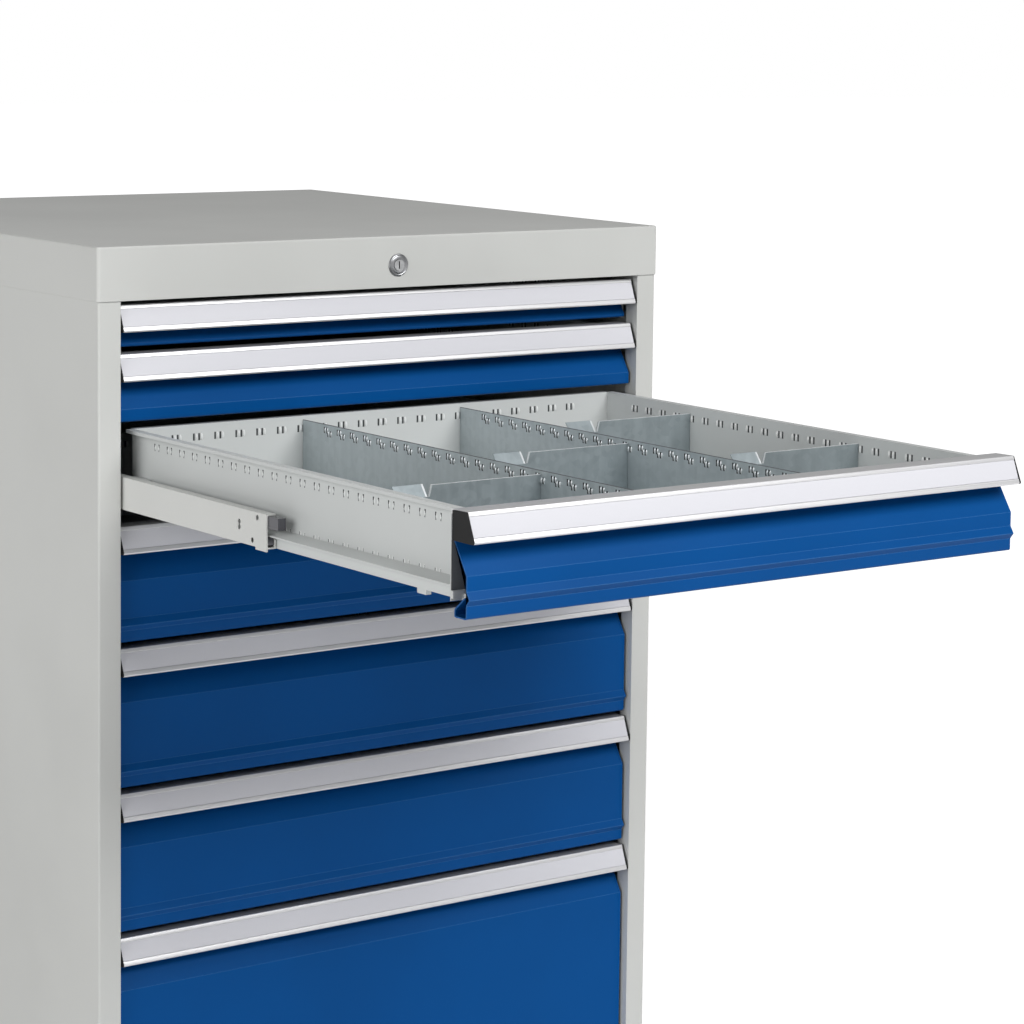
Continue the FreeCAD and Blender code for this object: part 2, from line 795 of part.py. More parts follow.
def make_tray(k):
    """Folded tray with its rim, side rails, rear ears, stop lugs and lock catch."""
    name = f"tray_{k}"
    body = new_body(name)
    floor = tray_floor[k]
    rim = -dim.rim_drop
    lip = rim - dim.rim_lip
    wall = dim.tray_sheet
    front = dim.tray_front - wall
    back = tray_back + wall
    run = [(-rim_half, lip), (-rim_half, rim), (-tray_half, rim), (-tray_half, floor + wall),
           (tray_half, floor + wall), (tray_half, rim), (rim_half, rim), (rim_half, lip)]
    sheet_prism(body, f"{name}_trough", "XZ_Plane", run, wall, front, back)
    box_prism(body, f"{name}_front", (-front_half, front_half), (front, dim.tray_front),
              (floor, rim))
    back_run = [(tray_back, floor), (tray_back, rim), (back + dim.rim_width, rim),
                (back + dim.rim_width, lip)]
    sheet_prism(body, f"{name}_back", "YZ_Plane", back_run, wall, -tray_half, tray_half)

    underside = floor + dim.rail_underside
    nose_top = underside + dim.rail_edge
    rail_top = nose_top + dim.rail_slant
    rail_inside = rail_web - wall
    slope = dim.rail_slant / (rail_nose - tray_side)
    rail_back = dim.depth - dim.rail_rear - (dim.tray_rear - dim.tray_sheet)
    shoulder = [(tray_side, rail_top), (rail_nose, nose_top), (rail_nose, underside),
                (rail_inside, underside),
                (rail_inside, rail_top - wall - slope * (dim.rail_gap - wall)),
                (tray_side, rail_top - wall)]
    web = [(rail_web, underside), (rail_web, floor), (tray_side, floor),
           (tray_side, floor + wall), (rail_inside, floor + wall), (rail_inside, underside)]
    sides = [prism(body, f"{name}_shoulder", "XZ_Plane", shoulder, front, rail_back),
             prism(body, f"{name}_web", "XZ_Plane", web, front, rail_back)]
    if has_ridge(k):
        sides.append(box_prism(body, f"{name}_toe", (rail_inside, rail_web),
                               (front - dim.toe_length, front),
                               (floor, floor + dim.toe_height)))
    ear_back = rail_back + dim.ear_setback + dim.ear_length
    ear_top = floor + dim.mid_rail_height - dim.slide_sheet - dim.running_fit
    sides.append(box_prism(body, f"{name}_ear", (tray_side, mid_inner - dim.running_fit),
                           (rail_back + dim.ear_setback, ear_back),
                           (floor + dim.ear_foot, ear_top)))
    sides.append(box_prism(body, f"{name}_lug", (rail_web - dim.lug_width, rail_web),
                           (dim.lug_inset, dim.lug_inset + dim.lug_length),
                           (floor - dim.lug_drop, floor + wall)))
    mirror_features(body, f"{name}_left", sides)
    level = floor + dim.catch_level
    hook = [(back, level), (back + dim.catch_reach, level),
            (back + dim.catch_reach, level - dim.catch_drop)]
    catch_left = dim.lock_offset + dim.catch_offset
    sheet_prism(body, f"{name}_catch", "YZ_Plane", hook, wall, catch_left,
                catch_left + dim.catch_width)
    finish(body, f"drawer_{k}_tray", handle_top[k], pulled[k])


def has_ridge(k):
    """Whether a front is tall enough for the pressed ridge."""
    return front_height[k].value > (dim.slope_bottom + dim.ridge_high).value


def front_run(k):
    """Outer outline of a drawer front from the recess down to its bottom return."""
    tall = front_height[k]
    bottom = -tall
    face = dim.face_depth
    recess = dim.recess_depth
    back = face + dim.return_depth
    run = [(recess, -dim.flange_drop), (recess, -dim.recess_bottom)]
    if tall.value <= dim.slope_bottom.value:
        share = (tall - dim.recess_bottom) / (dim.slope_bottom - dim.recess_bottom)
        run.append((recess - (recess - face) * share, bottom))
    else:
        run.append((face, -dim.slope_bottom))
        if has_ridge(k):
            run.append((face, bottom + dim.ridge_high))
            run.append((face - dim.ridge_out, bottom + dim.ridge_peak))
            run.append((face, bottom + dim.ridge_low))
        run.append((face, bottom))
    run.append((back, bottom))
    run.append((back, bottom + dim.return_height))
    if has_ridge(k):
        run.append((back - dim.return_reach, bottom + dim.return_height + dim.return_rise))
    return run


def make_front(k):
    """Folded front: recess behind the handle, slope, flat face, ridge and return."""
    name = f"front_{k}"
    body = new_body(name)
    sheet_prism(body, f"{name}_sheet", "YZ_Plane", front_run(k)[::-1], dim.front_sheet,
                -front_half, front_half)
    box_prism(body, f"{name}_flange", (-rim_half, rim_half),
              (dim.recess_depth, dim.tray_front - dim.tray_sheet),
              (-dim.flange_drop - dim.front_sheet, -dim.flange_drop))
    finish(body, f"drawer_{k}_front", handle_top[k], pulled[k])


def handle_outline():
    """Section of the handle bar: roof, leaning face with its groove, lip and rear leg."""
    rear = dim.handle_lean + dim.handle_top
    lip_bottom = -dim.handle_drop - dim.handle_lip_drop
    lip_roof = lip_bottom + dim.handle_lip_wall
    leg_front = dim.recess_depth - dim.handle_leg_sheet
    return [(rear, -dim.handle_fall), (dim.handle_lean, 0),
            (face_place(dim.groove_top), -dim.groove_top),
            (face_place(dim.groove_top) + dim.groove_depth, -dim.groove_top),
            (face_place(dim.groove_bottom) + dim.groove_depth, -dim.groove_bottom),
            (face_place(dim.groove_bottom), -dim.groove_bottom),
            (0, -dim.handle_drop), (dim.handle_lip_chamfer, lip_bottom),
            (dim.handle_lip, lip_bottom), (dim.handle_lip, lip_roof),
            (face_place(-lip_roof) + dim.handle_wall, lip_roof),
            (face_place(dim.handle_roof) + dim.handle_wall, -dim.handle_roof),
            (leg_front, -dim.handle_roof - dim.handle_fall), (leg_front, -dim.handle_leg),
            (dim.recess_depth, -dim.handle_leg), (dim.recess_depth, -dim.flange_drop),
            (rear, -dim.flange_drop)]


def make_handle(k):
    body = new_body(f"handle_{k}")
    prism(body, f"handle_{k}_bar", "YZ_Plane", handle_outline(), -front_half, front_half)
    finish(body, f"drawer_{k}_handle", handle_top[k], pulled[k])


def make_label(k):
    """Plain strip in the groove of the handle."""
    body = new_body(f"label_{k}")
    top = dim.groove_top + dim.label_fit
    bottom = dim.groove_bottom - dim.label_fit
    back = dim.groove_depth
    front = back - dim.label_sheet
    points = [(face_place(top) + front, -top), (face_place(top) + back, -top),
              (face_place(bottom) + back, -bottom), (face_place(bottom) + front, -bottom)]
    half = front_half - dim.label_fit
    prism(body, f"label_{k}_strip", "YZ_Plane", points, -half, half)
    finish(body, f"drawer_{k}_label", handle_top[k], pulled[k])


def make_end_caps(k):
    """Caps that close the ends of the handle."""
    body = new_body(f"end_cap_{k}")
    inset = dim.cap_inset
    rear = dim.recess_depth - inset
    bottom = -dim.handle_drop - dim.handle_lip_drop
    points = [(rear, -dim.handle_fall - inset), (dim.handle_lean + inset, -inset),
              (-inset, -dim.handle_drop + inset), (dim.handle_lip_chamfer, bottom),
              (rear, bottom)]
    prism(body, f"end_cap_{k}_plate", "YZ_Plane", points, front_half, front_half + dim.cap_sheet)
    finish(both_sides(f"end_cap_group_{k}", [body]), f"drawer_{k}_end_caps", handle_top[k],
           pulled[k])


def cross_divider(number_, side, step):
    """Cross divider of one compartment, with a bent label flap at its left end."""
    name = f"cross_divider_{number_}"
    half = dim.divider_sheet / 2
    fit = dim.divider_fit
    long_left = -dim.long_divider_offset
    ends = {"left": (-tray_half + fit, long_left - half - fit),
            "middle": (long_left + half + fit, dim.long_divider_offset - half - fit),
            "right": (dim.long_divider_offset + half + fit, tray_half - fit)}
    left, right = ends[side]
    place = dim.tray_front + dim.grid_pitch * step
    floor = tray_floor[OPEN_DRAWER] + dim.tray_sheet
    top = -dim.cross_divider_drop
    bend = top - dim.flap_height
    body = new_body(name)
    flap_end = left + dim.flap_length
    plate = [(left, floor), (right, floor), (right, top), (flap_end + dim.flap_notch, top),
             (flap_end, bend), (left, bend)]
    prism(body, f"{name}_plate", "XZ_Plane", plate, place - half, place + half)
    flap = [(place - half, bend - dim.divider_sheet), (place + half, bend - dim.divider_sheet),
            (place + half, bend), (place + half + dim.flap_lean, top),
            (place - half + dim.flap_lean, top), (place - half, bend)]
    prism(body, f"{name}_flap", "YZ_Plane", flap, left, flap_end)
    doc.recompute()
    sketch = new_sketch(body, f"{name}_taper_outline", "XZ_Plane", place - half)
    outline(sketch, [(flap_end - dim.flap_taper, top), (flap_end, bend), (flap_end, top)])
    pocket(body, f"{name}_taper", sketch, dim.divider_sheet + dim.flap_lean)
    return body


def make_dividers():
    """Long dividers of the open drawer and the cross dividers between them."""
    half = dim.divider_sheet / 2
    floor = tray_floor[OPEN_DRAWER] + dim.tray_sheet
    ends = (dim.tray_front + dim.divider_fit, tray_back - dim.divider_fit)
    parts = []
    for name, place in (("left", -dim.long_divider_offset), ("right", dim.long_divider_offset)):
        parts.append(box(f"{name}_long_divider", (place - half, place + half), ends,
                         (floor, -dim.long_divider_drop)))
    for index, (side, step) in enumerate(CROSS_DIVIDERS, start=1):
        parts.append(cross_divider(index, side, step))
    finish(group("divider_group", parts), "drawer_dividers", handle_top[OPEN_DRAWER],
           pulled[OPEN_DRAWER])


# Lock

def make_lock_cylinder():
    """Barrel with its ring in front of the cover and its nut behind it."""
    across = (dim.lock_offset, lock_height)
    end = dim.lock_barrel_length
    ring = rod("lock_ring", "y", -dim.lock_ring_height, 0, across, dim.lock_ring)
    barrel = rod("lock_barrel", "y", 0, end, across, dim.lock_barrel)
    nut = rod("lock_nut", "y", dim.cover_sheet, dim.cover_sheet + dim.lock_nut_height, across,
              dim.lock_nut)
    bore = rod("lock_bore", "y", -dim.lock_ring_height * 2, end * 2, across, dim.lock_bore)
    finish(cut("lock_body", fuse("lock_blank", [ring, barrel, nut]), bore), "lock_cylinder")


def make_lock_plug():
    """Plug with its key slot, and the rod and crank that it turns."""
    x = dim.lock_offset
    across = (x, lock_height)
    face = -dim.lock_ring_height - dim.plug_proud
    plug_end = dim.plug_length
    rod_end = lock_bar_front - dim.rod_gap
    plug = rod("plug_core", "y", face, plug_end, across, dim.plug_radius)
    collar = rod("plug_collar", "y", plug_end, plug_end + dim.plug_collar_height, across,
                 dim.plug_collar)
    tail = rod("plug_rod", "y", plug_end, rod_end, across, dim.rod_radius)
    pin_x = x + crank_side
    pin_z = lock_height - crank_side
    arm_end = rod_end + dim.crank_sheet
    hub = rod("crank_hub", "y", rod_end, arm_end, across, dim.rod_radius)
    arm = box("crank_arm", (x, pin_x + dim.crank_pin),
              (rod_end, arm_end), (pin_z - dim.crank_pin, lock_height))
    pin = rod("crank_pin", "y", arm_end, arm_end + dim.crank_pin_length, (pin_x, pin_z),
              dim.crank_pin)
    key_slot = box("key_slot", (x - dim.key_width / 2, x + dim.key_width / 2),
                   (face - dim.key_depth, face + dim.key_depth),
                   (lock_height - dim.key_height / 2, lock_height + dim.key_height / 2))
    blank = fuse("plug_blank", [plug, collar, tail, hub, arm, pin])
    finish(cut("plug_body", blank, key_slot), "lock_plug")


def make_lock_bar():
    """Upright bar that the crank lifts: its lugs then stand before the trays' catches."""
    right = dim.lock_offset - dim.lock_bar_side
    left = right - dim.lock_bar_width
    y = (lock_bar_front, lock_bar_back)
    pin_x = dim.lock_offset + crank_side
    pin_z = lock_height - crank_side
    head_right = dim.lock_offset + dim.crank + dim.crank_pin * 2
    head = (pin_z - dim.lock_head_height / 2, pin_z + dim.lock_head_height / 2)
    strip = box("bar_strip", (left, right), y, (dim.base_height + dim.lock_bar_foot, head[0]))
    plate = box("bar_head_plate", (left, head_right), y, head)
    slot = box("bar_slot",
               (pin_x - dim.crank_pin - dim.pin_play,
                dim.lock_offset + dim.crank + dim.crank_pin + dim.pin_play),
               (lock_bar_front - dim.lock_bar_sheet, lock_bar_back + dim.lock_bar_sheet),
               (pin_z - dim.crank_pin - dim.pin_play, pin_z + dim.crank_pin + dim.pin_play))
    parts = [strip, cut("bar_head", plate, slot)]
    for k in DRAWERS:
        catch = handle_top[k] + tray_floor[k] + dim.catch_level - dim.tray_sheet
        top = catch - dim.lug_clearance - lock_lift
        parts.append(box(f"bar_lug_{k}", (right, right + dim.lug_reach), y,
                         (top - dim.lug_height, top)))
    finish(group("bar_group", parts), "lock_bar")


def check_model():
    """Stops before anything is written if an object failed or a solid isn't whole."""
    doc.recompute()
    for item in doc.Objects:
        if "Invalid" in item.State or "Error" in item.State:
            raise RuntimeError(f"{item.Name}: {item.State}")
    for node in nodes:
        if node.Shape.isNull() or not node.Shape.isValid():
            raise RuntimeError(f"{node.Label} isn't a valid shape")


def write_steps():
    os.makedirs("parts", exist_ok=True)
    for node in nodes:
        node.Shape.exportStep(f"parts/{node.Label}.step")


make_top_cover()
make_side_panels()
make_back_panel()
make_base()
make_runner_frames()
make_fixed_rollers()
for k in DRAWERS:
    make_tray(k)
    make_front(k)
    make_handle(k)
    make_label(k)
    make_end_caps(k)
    make_mid_rails(k)
    make_slide_rollers(k)
make_dividers()
make_lock_cylinder()
make_lock_plug()
make_lock_bar()
check_model()
write_steps()
print(f"{len(nodes)} nodes, height {height.value} mm, lock bar lift {lock_lift.value:.2f} mm")
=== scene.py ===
"""Looks of a sheet-steel drawer cabinet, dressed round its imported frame.

Pieces are drawn in millimetres: x across the front, y from the cover's front to the
back, z up. A drawer's own pieces count z from the top of its handle.
"""

import json
import logging
import math
from collections.abc import Callable, Sequence
from dataclasses import dataclass, field
from enum import Enum
from itertools import product

import bmesh
import bpy
from mathutils import Matrix, Vector

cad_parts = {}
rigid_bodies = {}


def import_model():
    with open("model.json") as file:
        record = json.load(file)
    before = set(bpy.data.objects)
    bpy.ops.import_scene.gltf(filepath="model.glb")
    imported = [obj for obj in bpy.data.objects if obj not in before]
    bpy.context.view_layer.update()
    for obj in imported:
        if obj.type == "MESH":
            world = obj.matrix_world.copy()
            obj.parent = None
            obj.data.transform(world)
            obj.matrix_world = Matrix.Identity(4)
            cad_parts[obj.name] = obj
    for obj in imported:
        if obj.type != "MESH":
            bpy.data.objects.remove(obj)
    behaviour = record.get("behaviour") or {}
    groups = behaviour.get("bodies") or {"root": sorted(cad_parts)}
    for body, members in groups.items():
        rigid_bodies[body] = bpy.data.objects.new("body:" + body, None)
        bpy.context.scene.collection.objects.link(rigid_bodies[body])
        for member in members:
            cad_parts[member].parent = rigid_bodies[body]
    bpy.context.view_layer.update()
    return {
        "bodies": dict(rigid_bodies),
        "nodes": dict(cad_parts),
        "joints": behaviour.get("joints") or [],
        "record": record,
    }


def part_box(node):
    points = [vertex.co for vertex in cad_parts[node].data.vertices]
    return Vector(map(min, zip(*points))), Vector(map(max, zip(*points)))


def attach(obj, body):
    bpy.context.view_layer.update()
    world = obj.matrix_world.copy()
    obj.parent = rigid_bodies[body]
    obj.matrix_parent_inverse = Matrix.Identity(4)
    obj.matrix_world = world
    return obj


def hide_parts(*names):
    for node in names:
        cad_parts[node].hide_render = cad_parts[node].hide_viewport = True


Pair = tuple[float, float]
Triple = tuple[float, float, float]
Put = Callable[[float, float, float], Triple]
Socket = bpy.types.NodeSocket

LOG = logging.getLogger("cabinet")
MM = 0.001
WHITE: Triple = (1, 1, 1)
BEND_FACETS = 5
SMOOTH_ANGLE = math.radians(32)
QUARTER_TURN = math.pi / 2
HALVES = (-0.5, 0.5)
SIDES = ("Width", "Thickness", "Height")

DRAWERS = range(1, 8)
OPEN_DRAWER = 3
GRID = 25
LANCE_STEPS = range(2, 23)
INNER_FRONT = 36
INNER_HALF = 300.5
DIVIDER_PLACES = (-100, 100)
GRIP_DEPTH = 10
GRIP_HEIGHT = 26


# Shader maths


def linear(red: float, green: float, blue: float) -> Triple:
    """Turns a screen colour of 0 to 255 into a scene-linear one.

    Args:
        red: Red on screen.
        green: Green on screen.
        blue: Blue on screen.

    Returns:
        The linear colour.
    """
    def channel(value: float) -> float:
        """Linear share of one channel."""
        share = value / 255
        return share / 12.92 if share <= 0.04045 else ((share + 0.055) / 1.055) ** 2.4

    return channel(red), channel(green), channel(blue)


def scaled(colour: Triple, share: float, lift: float = 0) -> Triple:
    """Makes a colour lighter or darker, at most white.

    Args:
        colour: The colour.
        share: Factor of each channel.
        lift: Amount added to each channel.

    Returns:
        The new colour.
    """
    return tuple(min(channel * share + lift, 1) for channel in colour)


class Wire:
    """A number socket that takes part in Python sums; each sum adds its Math node."""

    def __init__(self, graph: "Graph", socket: Socket) -> None:
        """Keeps the socket and the graph it belongs to."""
        self.graph = graph
        self.socket = socket

    def __add__(self, other: "Wire | float") -> "Wire":
        """This plus the other."""
        return self.graph.sum("ADD", self, other)

    __radd__ = __add__

    def __sub__(self, other: "Wire | float") -> "Wire":
        """This minus the other."""
        return self.graph.sum("SUBTRACT", self, other)

    def __rsub__(self, other: float) -> "Wire":
        """The other minus this."""
        return self.graph.sum("SUBTRACT", other, self)

    def __mul__(self, other: "Wire | float") -> "Wire":
        """This times the other."""
        return self.graph.sum("MULTIPLY", self, other)

    def between(self, low: float, high: float) -> "Wire":
        """Soft step from 0 at low to 1 at high."""
        step = self.graph.node("ShaderNodeMapRange",
                               {"Value": self, "From Min": low, "From Max": high},
                               interpolation_type="SMOOTHSTEP")
        return Wire(self.graph, step["Result"])

    def swing(self, amount: float) -> "Wire":
        """This as a swing about zero, by half the amount to each side."""
        return (self - 0.5) * amount


class Graph:
    """Node tree that grows by one call for each node."""

    def __init__(self, tree: bpy.types.NodeTree) -> None:
        """Takes a tree and empties it."""
        self.tree = tree
        tree.nodes.clear()

    def node(self, kind: str, inputs: dict[str | int, object] | None = None,
             **settings: object) -> bpy.types.NodeOutputs:
        """Adds one node.

        Args:
            kind: The node's type.
            inputs: Values or links of its sockets.
            settings: Its own settings, made first.

        Returns:
            The node's outputs.
        """
        node = self.tree.nodes.new(kind)
        for name, value in settings.items():
            setattr(node, name, value)
        for key, value in (inputs or {}).items():
            socket = node.inputs[key]
            if isinstance(value, Wire):
                value = value.socket
            if isinstance(value, Socket):
                self.tree.links.new(value, socket)
            elif socket.type == "RGBA":
                socket.default_value = (*value, 1)
            else:
                socket.default_value = value
        return node.outputs

    def sum(self, operation: str, *terms: Wire | float) -> Wire:
        """Adds a Math node.

        Args:
            operation: Its operation.
            terms: Its inputs in order.

        Returns:
            The result's wire.
        """
        result = self.node("ShaderNodeMath", dict(enumerate(terms)), operation=operation)
        return Wire(self, result[0])

    def rays(self, *kinds: str) -> list[Wire]:
        """Wires that are 1 for one kind of ray and 0 for the others."""
        path = self.node("ShaderNodeLightPath")
        return [Wire(self, path[f"Is {kind} Ray"]) for kind in kinds]

    def mix(self, factor: Wire, first: Socket, second: Socket) -> Socket:
        """Mix of two shaders, with the second's share as its factor."""
        return self.node("ShaderNodeMixShader", {0: factor, 1: first, 2: second})[0]


class FinishGraph(Graph):
    """Node tree of one finish."""

    def __init__(self, name: str) -> None:
        """Starts an empty material of that name."""
        self.material = bpy.data.materials.new(name)
        self.material.use_nodes = True
        super().__init__(self.material.node_tree)

    def place(self, scale: Triple = (1, 1, 1)) -> Socket:
        """Object coordinates, stretched per axis."""
        coordinates = self.node("ShaderNodeTexCoord")
        return self.node("ShaderNodeMapping",
                         {"Vector": coordinates["Object"], "Scale": scale})["Vector"]

    def noise(self, scale: float, detail: float = 2, stretch: Triple = (1, 1, 1)) -> Wire:
        """Noise between 0 and 1.

        Args:
            scale: Grains per metre.
            detail: Octaves.
            stretch: Scale per axis.

        Returns:
            The noise's wire.
        """
        noise = self.node("ShaderNodeTexNoise",
                          {"Vector": self.place(stretch), "Scale": scale, "Detail": detail})
        return Wire(self, noise["Fac"])

    def crystals(self, scale: float) -> Wire:
        """A random number for each crystal of a zinc skin, at so many to the metre."""
        cells = self.node("ShaderNodeTexVoronoi", {"Vector": self.place(), "Scale": scale},
                          feature="F1")
        split = self.node("ShaderNodeSeparateColor", {"Color": cells["Color"]})
        return Wire(self, split[0])

    def blend(self, factor: Wire, first: Triple | Socket, second: Triple | Socket) -> Socket:
        """Mix of two colours.

        Args:
            factor: Share of the second.
            first: A colour or its socket.
            second: A colour or its socket.

        Returns:
            The mixed colour's socket.
        """
        return self.node("ShaderNodeMix", {0: factor, 6: first, 7: second},
                         data_type="RGBA")[2]

    def edges(self, radius: float, sharp: float = 0.12) -> tuple[Socket, Wire]:
        """Rounded normals near sharp edges, and a mask of those edges.

        Args:
            radius: Rounding in millimetres.
            sharp: How far a normal has to lean for a full mask.

        Returns:
            The normal's socket, and the mask: 1 on an edge, 0 on a flat.
        """
        bevel = self.node("ShaderNodeBevel", {"Radius": radius * MM}, samples=4)
        true = self.node("ShaderNodeNewGeometry")
        dot = self.node("ShaderNodeVectorMath", {0: bevel["Normal"], 1: true["Normal"]},
                        operation="DOT_PRODUCT")
        bent = 1 - Wire(self, dot["Value"])
        return bevel["Normal"], bent.between(0.003, sharp)

    def bump(self, height: Wire, strength: float, depth: float,
             normal: Socket | None = None) -> Socket:
        """Bumped normal.

        Args:
            height: Height between 0 and 1.
            strength: Share of the bump.
            depth: Its depth in millimetres.
            normal: A normal that it starts from.

        Returns:
            The normal's socket.
        """
        start = {} if normal is None else {"Normal": normal}
        return self.node("ShaderNodeBump", {"Height": height, "Strength": strength,
                                            "Distance": depth * MM} | start)["Normal"]

    def shade(self, inputs: dict[str, object]) -> bpy.types.Material:
        """Ends the tree in one shader.

        Args:
            inputs: Values or links of the shader's sockets.

        Returns:
            The material.
        """
        shader = self.node("ShaderNodeBsdfPrincipled", inputs)
        self.node("ShaderNodeOutputMaterial", {"Surface": shader[0]})
        return self.material


# Finishes


@dataclass(frozen=True)
class PowderCoat:
    """Baked powder paint: fine orange peel, faint clouds, and a painted highlight along its
    edges and bends.
    """

    name: str
    colour: Triple
    # Colour of the painted highlight along edges and bends.
    edge_highlight_colour: Triple = linear(232, 233, 231)
    gloss_roughness: float = 0.42
    peel: float = 0.05
    cloud: float = 0.02
    edge_radius: float = 0.9
    edge_highlight_share: float = 0.55
    specular: float = 0.4
    sharp: float = 0.12

    def make(self) -> bpy.types.Material:
        """Builds the paint's material."""
        graph = FinishGraph(self.name)
        normal, edge = graph.edges(self.edge_radius, self.sharp)
        clouds, grain, dust = graph.noise(4, 3), graph.noise(700), graph.noise(2600, 1)
        paint = graph.blend(clouds.between(0.3, 0.7), scaled(self.colour, 1 - self.cloud * 2),
                            scaled(self.colour, 1 + self.cloud * 2))
        speckled = graph.blend(dust.between(0.35, 0.75) * 0.25, paint,
                               scaled(self.colour, 0.93))
        # Painted highlight: near edges and bends the paint is blended towards the highlight
        # colour.
        paint_with_edge_highlight = graph.blend(edge * self.edge_highlight_share, speckled, self.edge_highlight_colour)
        rough = self.gloss_roughness + clouds.swing(0.08) + grain.swing(0.06)
        return graph.shade({"Base Color": paint_with_edge_highlight, "Roughness": rough,
                            "Normal": graph.bump(grain, self.peel, 0.25, normal),
                            "Specular IOR Level": self.specular})


@dataclass(frozen=True)
class DrawnAluminium:
    """Matt anodised section: fine lines along its length, and a painted highlight on its edges.
    """

    name: str
    colour: Triple
    roughness: float

    def make(self) -> bpy.types.Material:
        """Builds the metal's material."""
        graph = FinishGraph(self.name)
        normal, edge = graph.edges(0.35)
        lines = graph.noise(1100, 3, (0.004, 1, 1))
        clouds = graph.noise(9, 2, (0.4, 1, 1))
        skin = graph.blend(lines.between(0.3, 0.75), scaled(self.colour, 0.93), self.colour)
        # Painted highlight: edges blended towards near white.
        light = graph.blend(edge * 0.6, skin, (0.97, 0.97, 0.98))
        rough = self.roughness + lines.swing(0.14) + clouds.swing(0.05)
        return graph.shade({"Base Color": light, "Metallic": 0.65, "Roughness": rough,
                            "Normal": graph.bump(lines, 0.06, 0.06, normal)})


@dataclass(frozen=True)
class CardStrip:
    """Plain label strip: smooth white plastic over card."""

    name: str
    colour: Triple

    def make(self) -> bpy.types.Material:
        """Builds the strip's material."""
        graph = FinishGraph(self.name)
        fibres = graph.noise(1500, 3, (0.35, 1, 1))
        clouds = graph.noise(6)
        shade = scaled(self.colour, 0.95)
        card = graph.blend(fibres.between(0.2, 0.8) * 0.5, self.colour, shade)
        aged = graph.blend(clouds.between(0.35, 0.8) * 0.35, card, shade)
        return graph.shade({"Base Color": aged, "Roughness": 0.5 + clouds.swing(0.1),
                            "Normal": graph.bump(fibres, 0.05, 0.05)})


@dataclass(frozen=True)
class MouldedPlastic:
    """Moulded plastic with a fine eroded grain, and a painted highlight on its edges."""

    name: str
    colour: Triple
    roughness: float = 0.8
    specular: float = 0.1

    def make(self) -> bpy.types.Material:
        """Builds the plastic's material."""
        graph = FinishGraph(self.name)
        normal, edge = graph.edges(0.5)
        pits, flow = graph.noise(1400), graph.noise(60)
        light = scaled(self.colour, 1.5, 0.01)
        skin = graph.blend(pits.between(0.4, 0.8) * 0.3, self.colour, light)
        # Painted highlight: edges blended towards the lighter colour.
        plastic_with_edge_highlight = graph.blend(edge * 0.5, skin, light)
        rough = self.roughness + flow.swing(0.12) + pits.swing(0.1)
        return graph.shade({"Base Color": plastic_with_edge_highlight, "Roughness": rough,
                            "Normal": graph.bump(pits, 0.12, 0.08, normal),
                            "Specular IOR Level": self.specular})


@dataclass(frozen=True)
class ZincSheet:
    """Galvanised sheet: a faint frost of crystals under upright rolling streaks, and a painted
    highlight on its edges.
    """

    name: str
    colour: Triple
    dark: Triple

    def make(self) -> bpy.types.Material:
        """Builds the zinc's material."""
        graph = FinishGraph(self.name)
        normal, edge = graph.edges(0.3)
        crystal = graph.crystals(160)
        streaks = graph.noise(130, 3, (1, 1, 0.04))
        clouds = graph.noise(7)
        frost = crystal * 0.2 + streaks * 0.5 + clouds * 0.3
        skin = graph.blend(frost.between(0.2, 0.8), self.dark, self.colour)
        # Painted highlight: edges blended towards a lighter zinc.
        bright = graph.blend(edge * 0.55, skin, scaled(self.colour, 1.5))
        rough = 0.42 + crystal.swing(0.06) + streaks.swing(0.1)
        return graph.shade({"Base Color": bright, "Metallic": 0.65, "Roughness": rough,
                            "Normal": graph.bump(frost, 0.05, 0.05, normal)})


@dataclass(frozen=True)
class TurnedMetal:
    """Turned and plated metal: rings of the tool under a bright plate, and a painted highlight
    on its edges.
    """

    name: str
    colour: Triple
    roughness: float
    fine: float = 2200

    def make(self) -> bpy.types.Material:
        """Builds the plated metal's material."""
        graph = FinishGraph(self.name)
        normal, edge = graph.edges(0.25)
        lines = graph.noise(self.fine, 2, (1, 0.2, 1))
        smears = graph.noise(120, 3)
        skin = graph.blend(smears.between(0.3, 0.75), self.colour, scaled(self.colour, 0.72))
        # Painted highlight: edges blended towards near white.
        bright = graph.blend(edge * 0.6, skin, (0.9, 0.9, 0.91))
        rough = self.roughness + smears.swing(0.12) + lines.swing(0.06)
        return graph.shade({"Base Color": bright, "Metallic": 0.95, "Roughness": rough,
                            "Normal": graph.bump(lines, 0.08, 0.03, normal)})


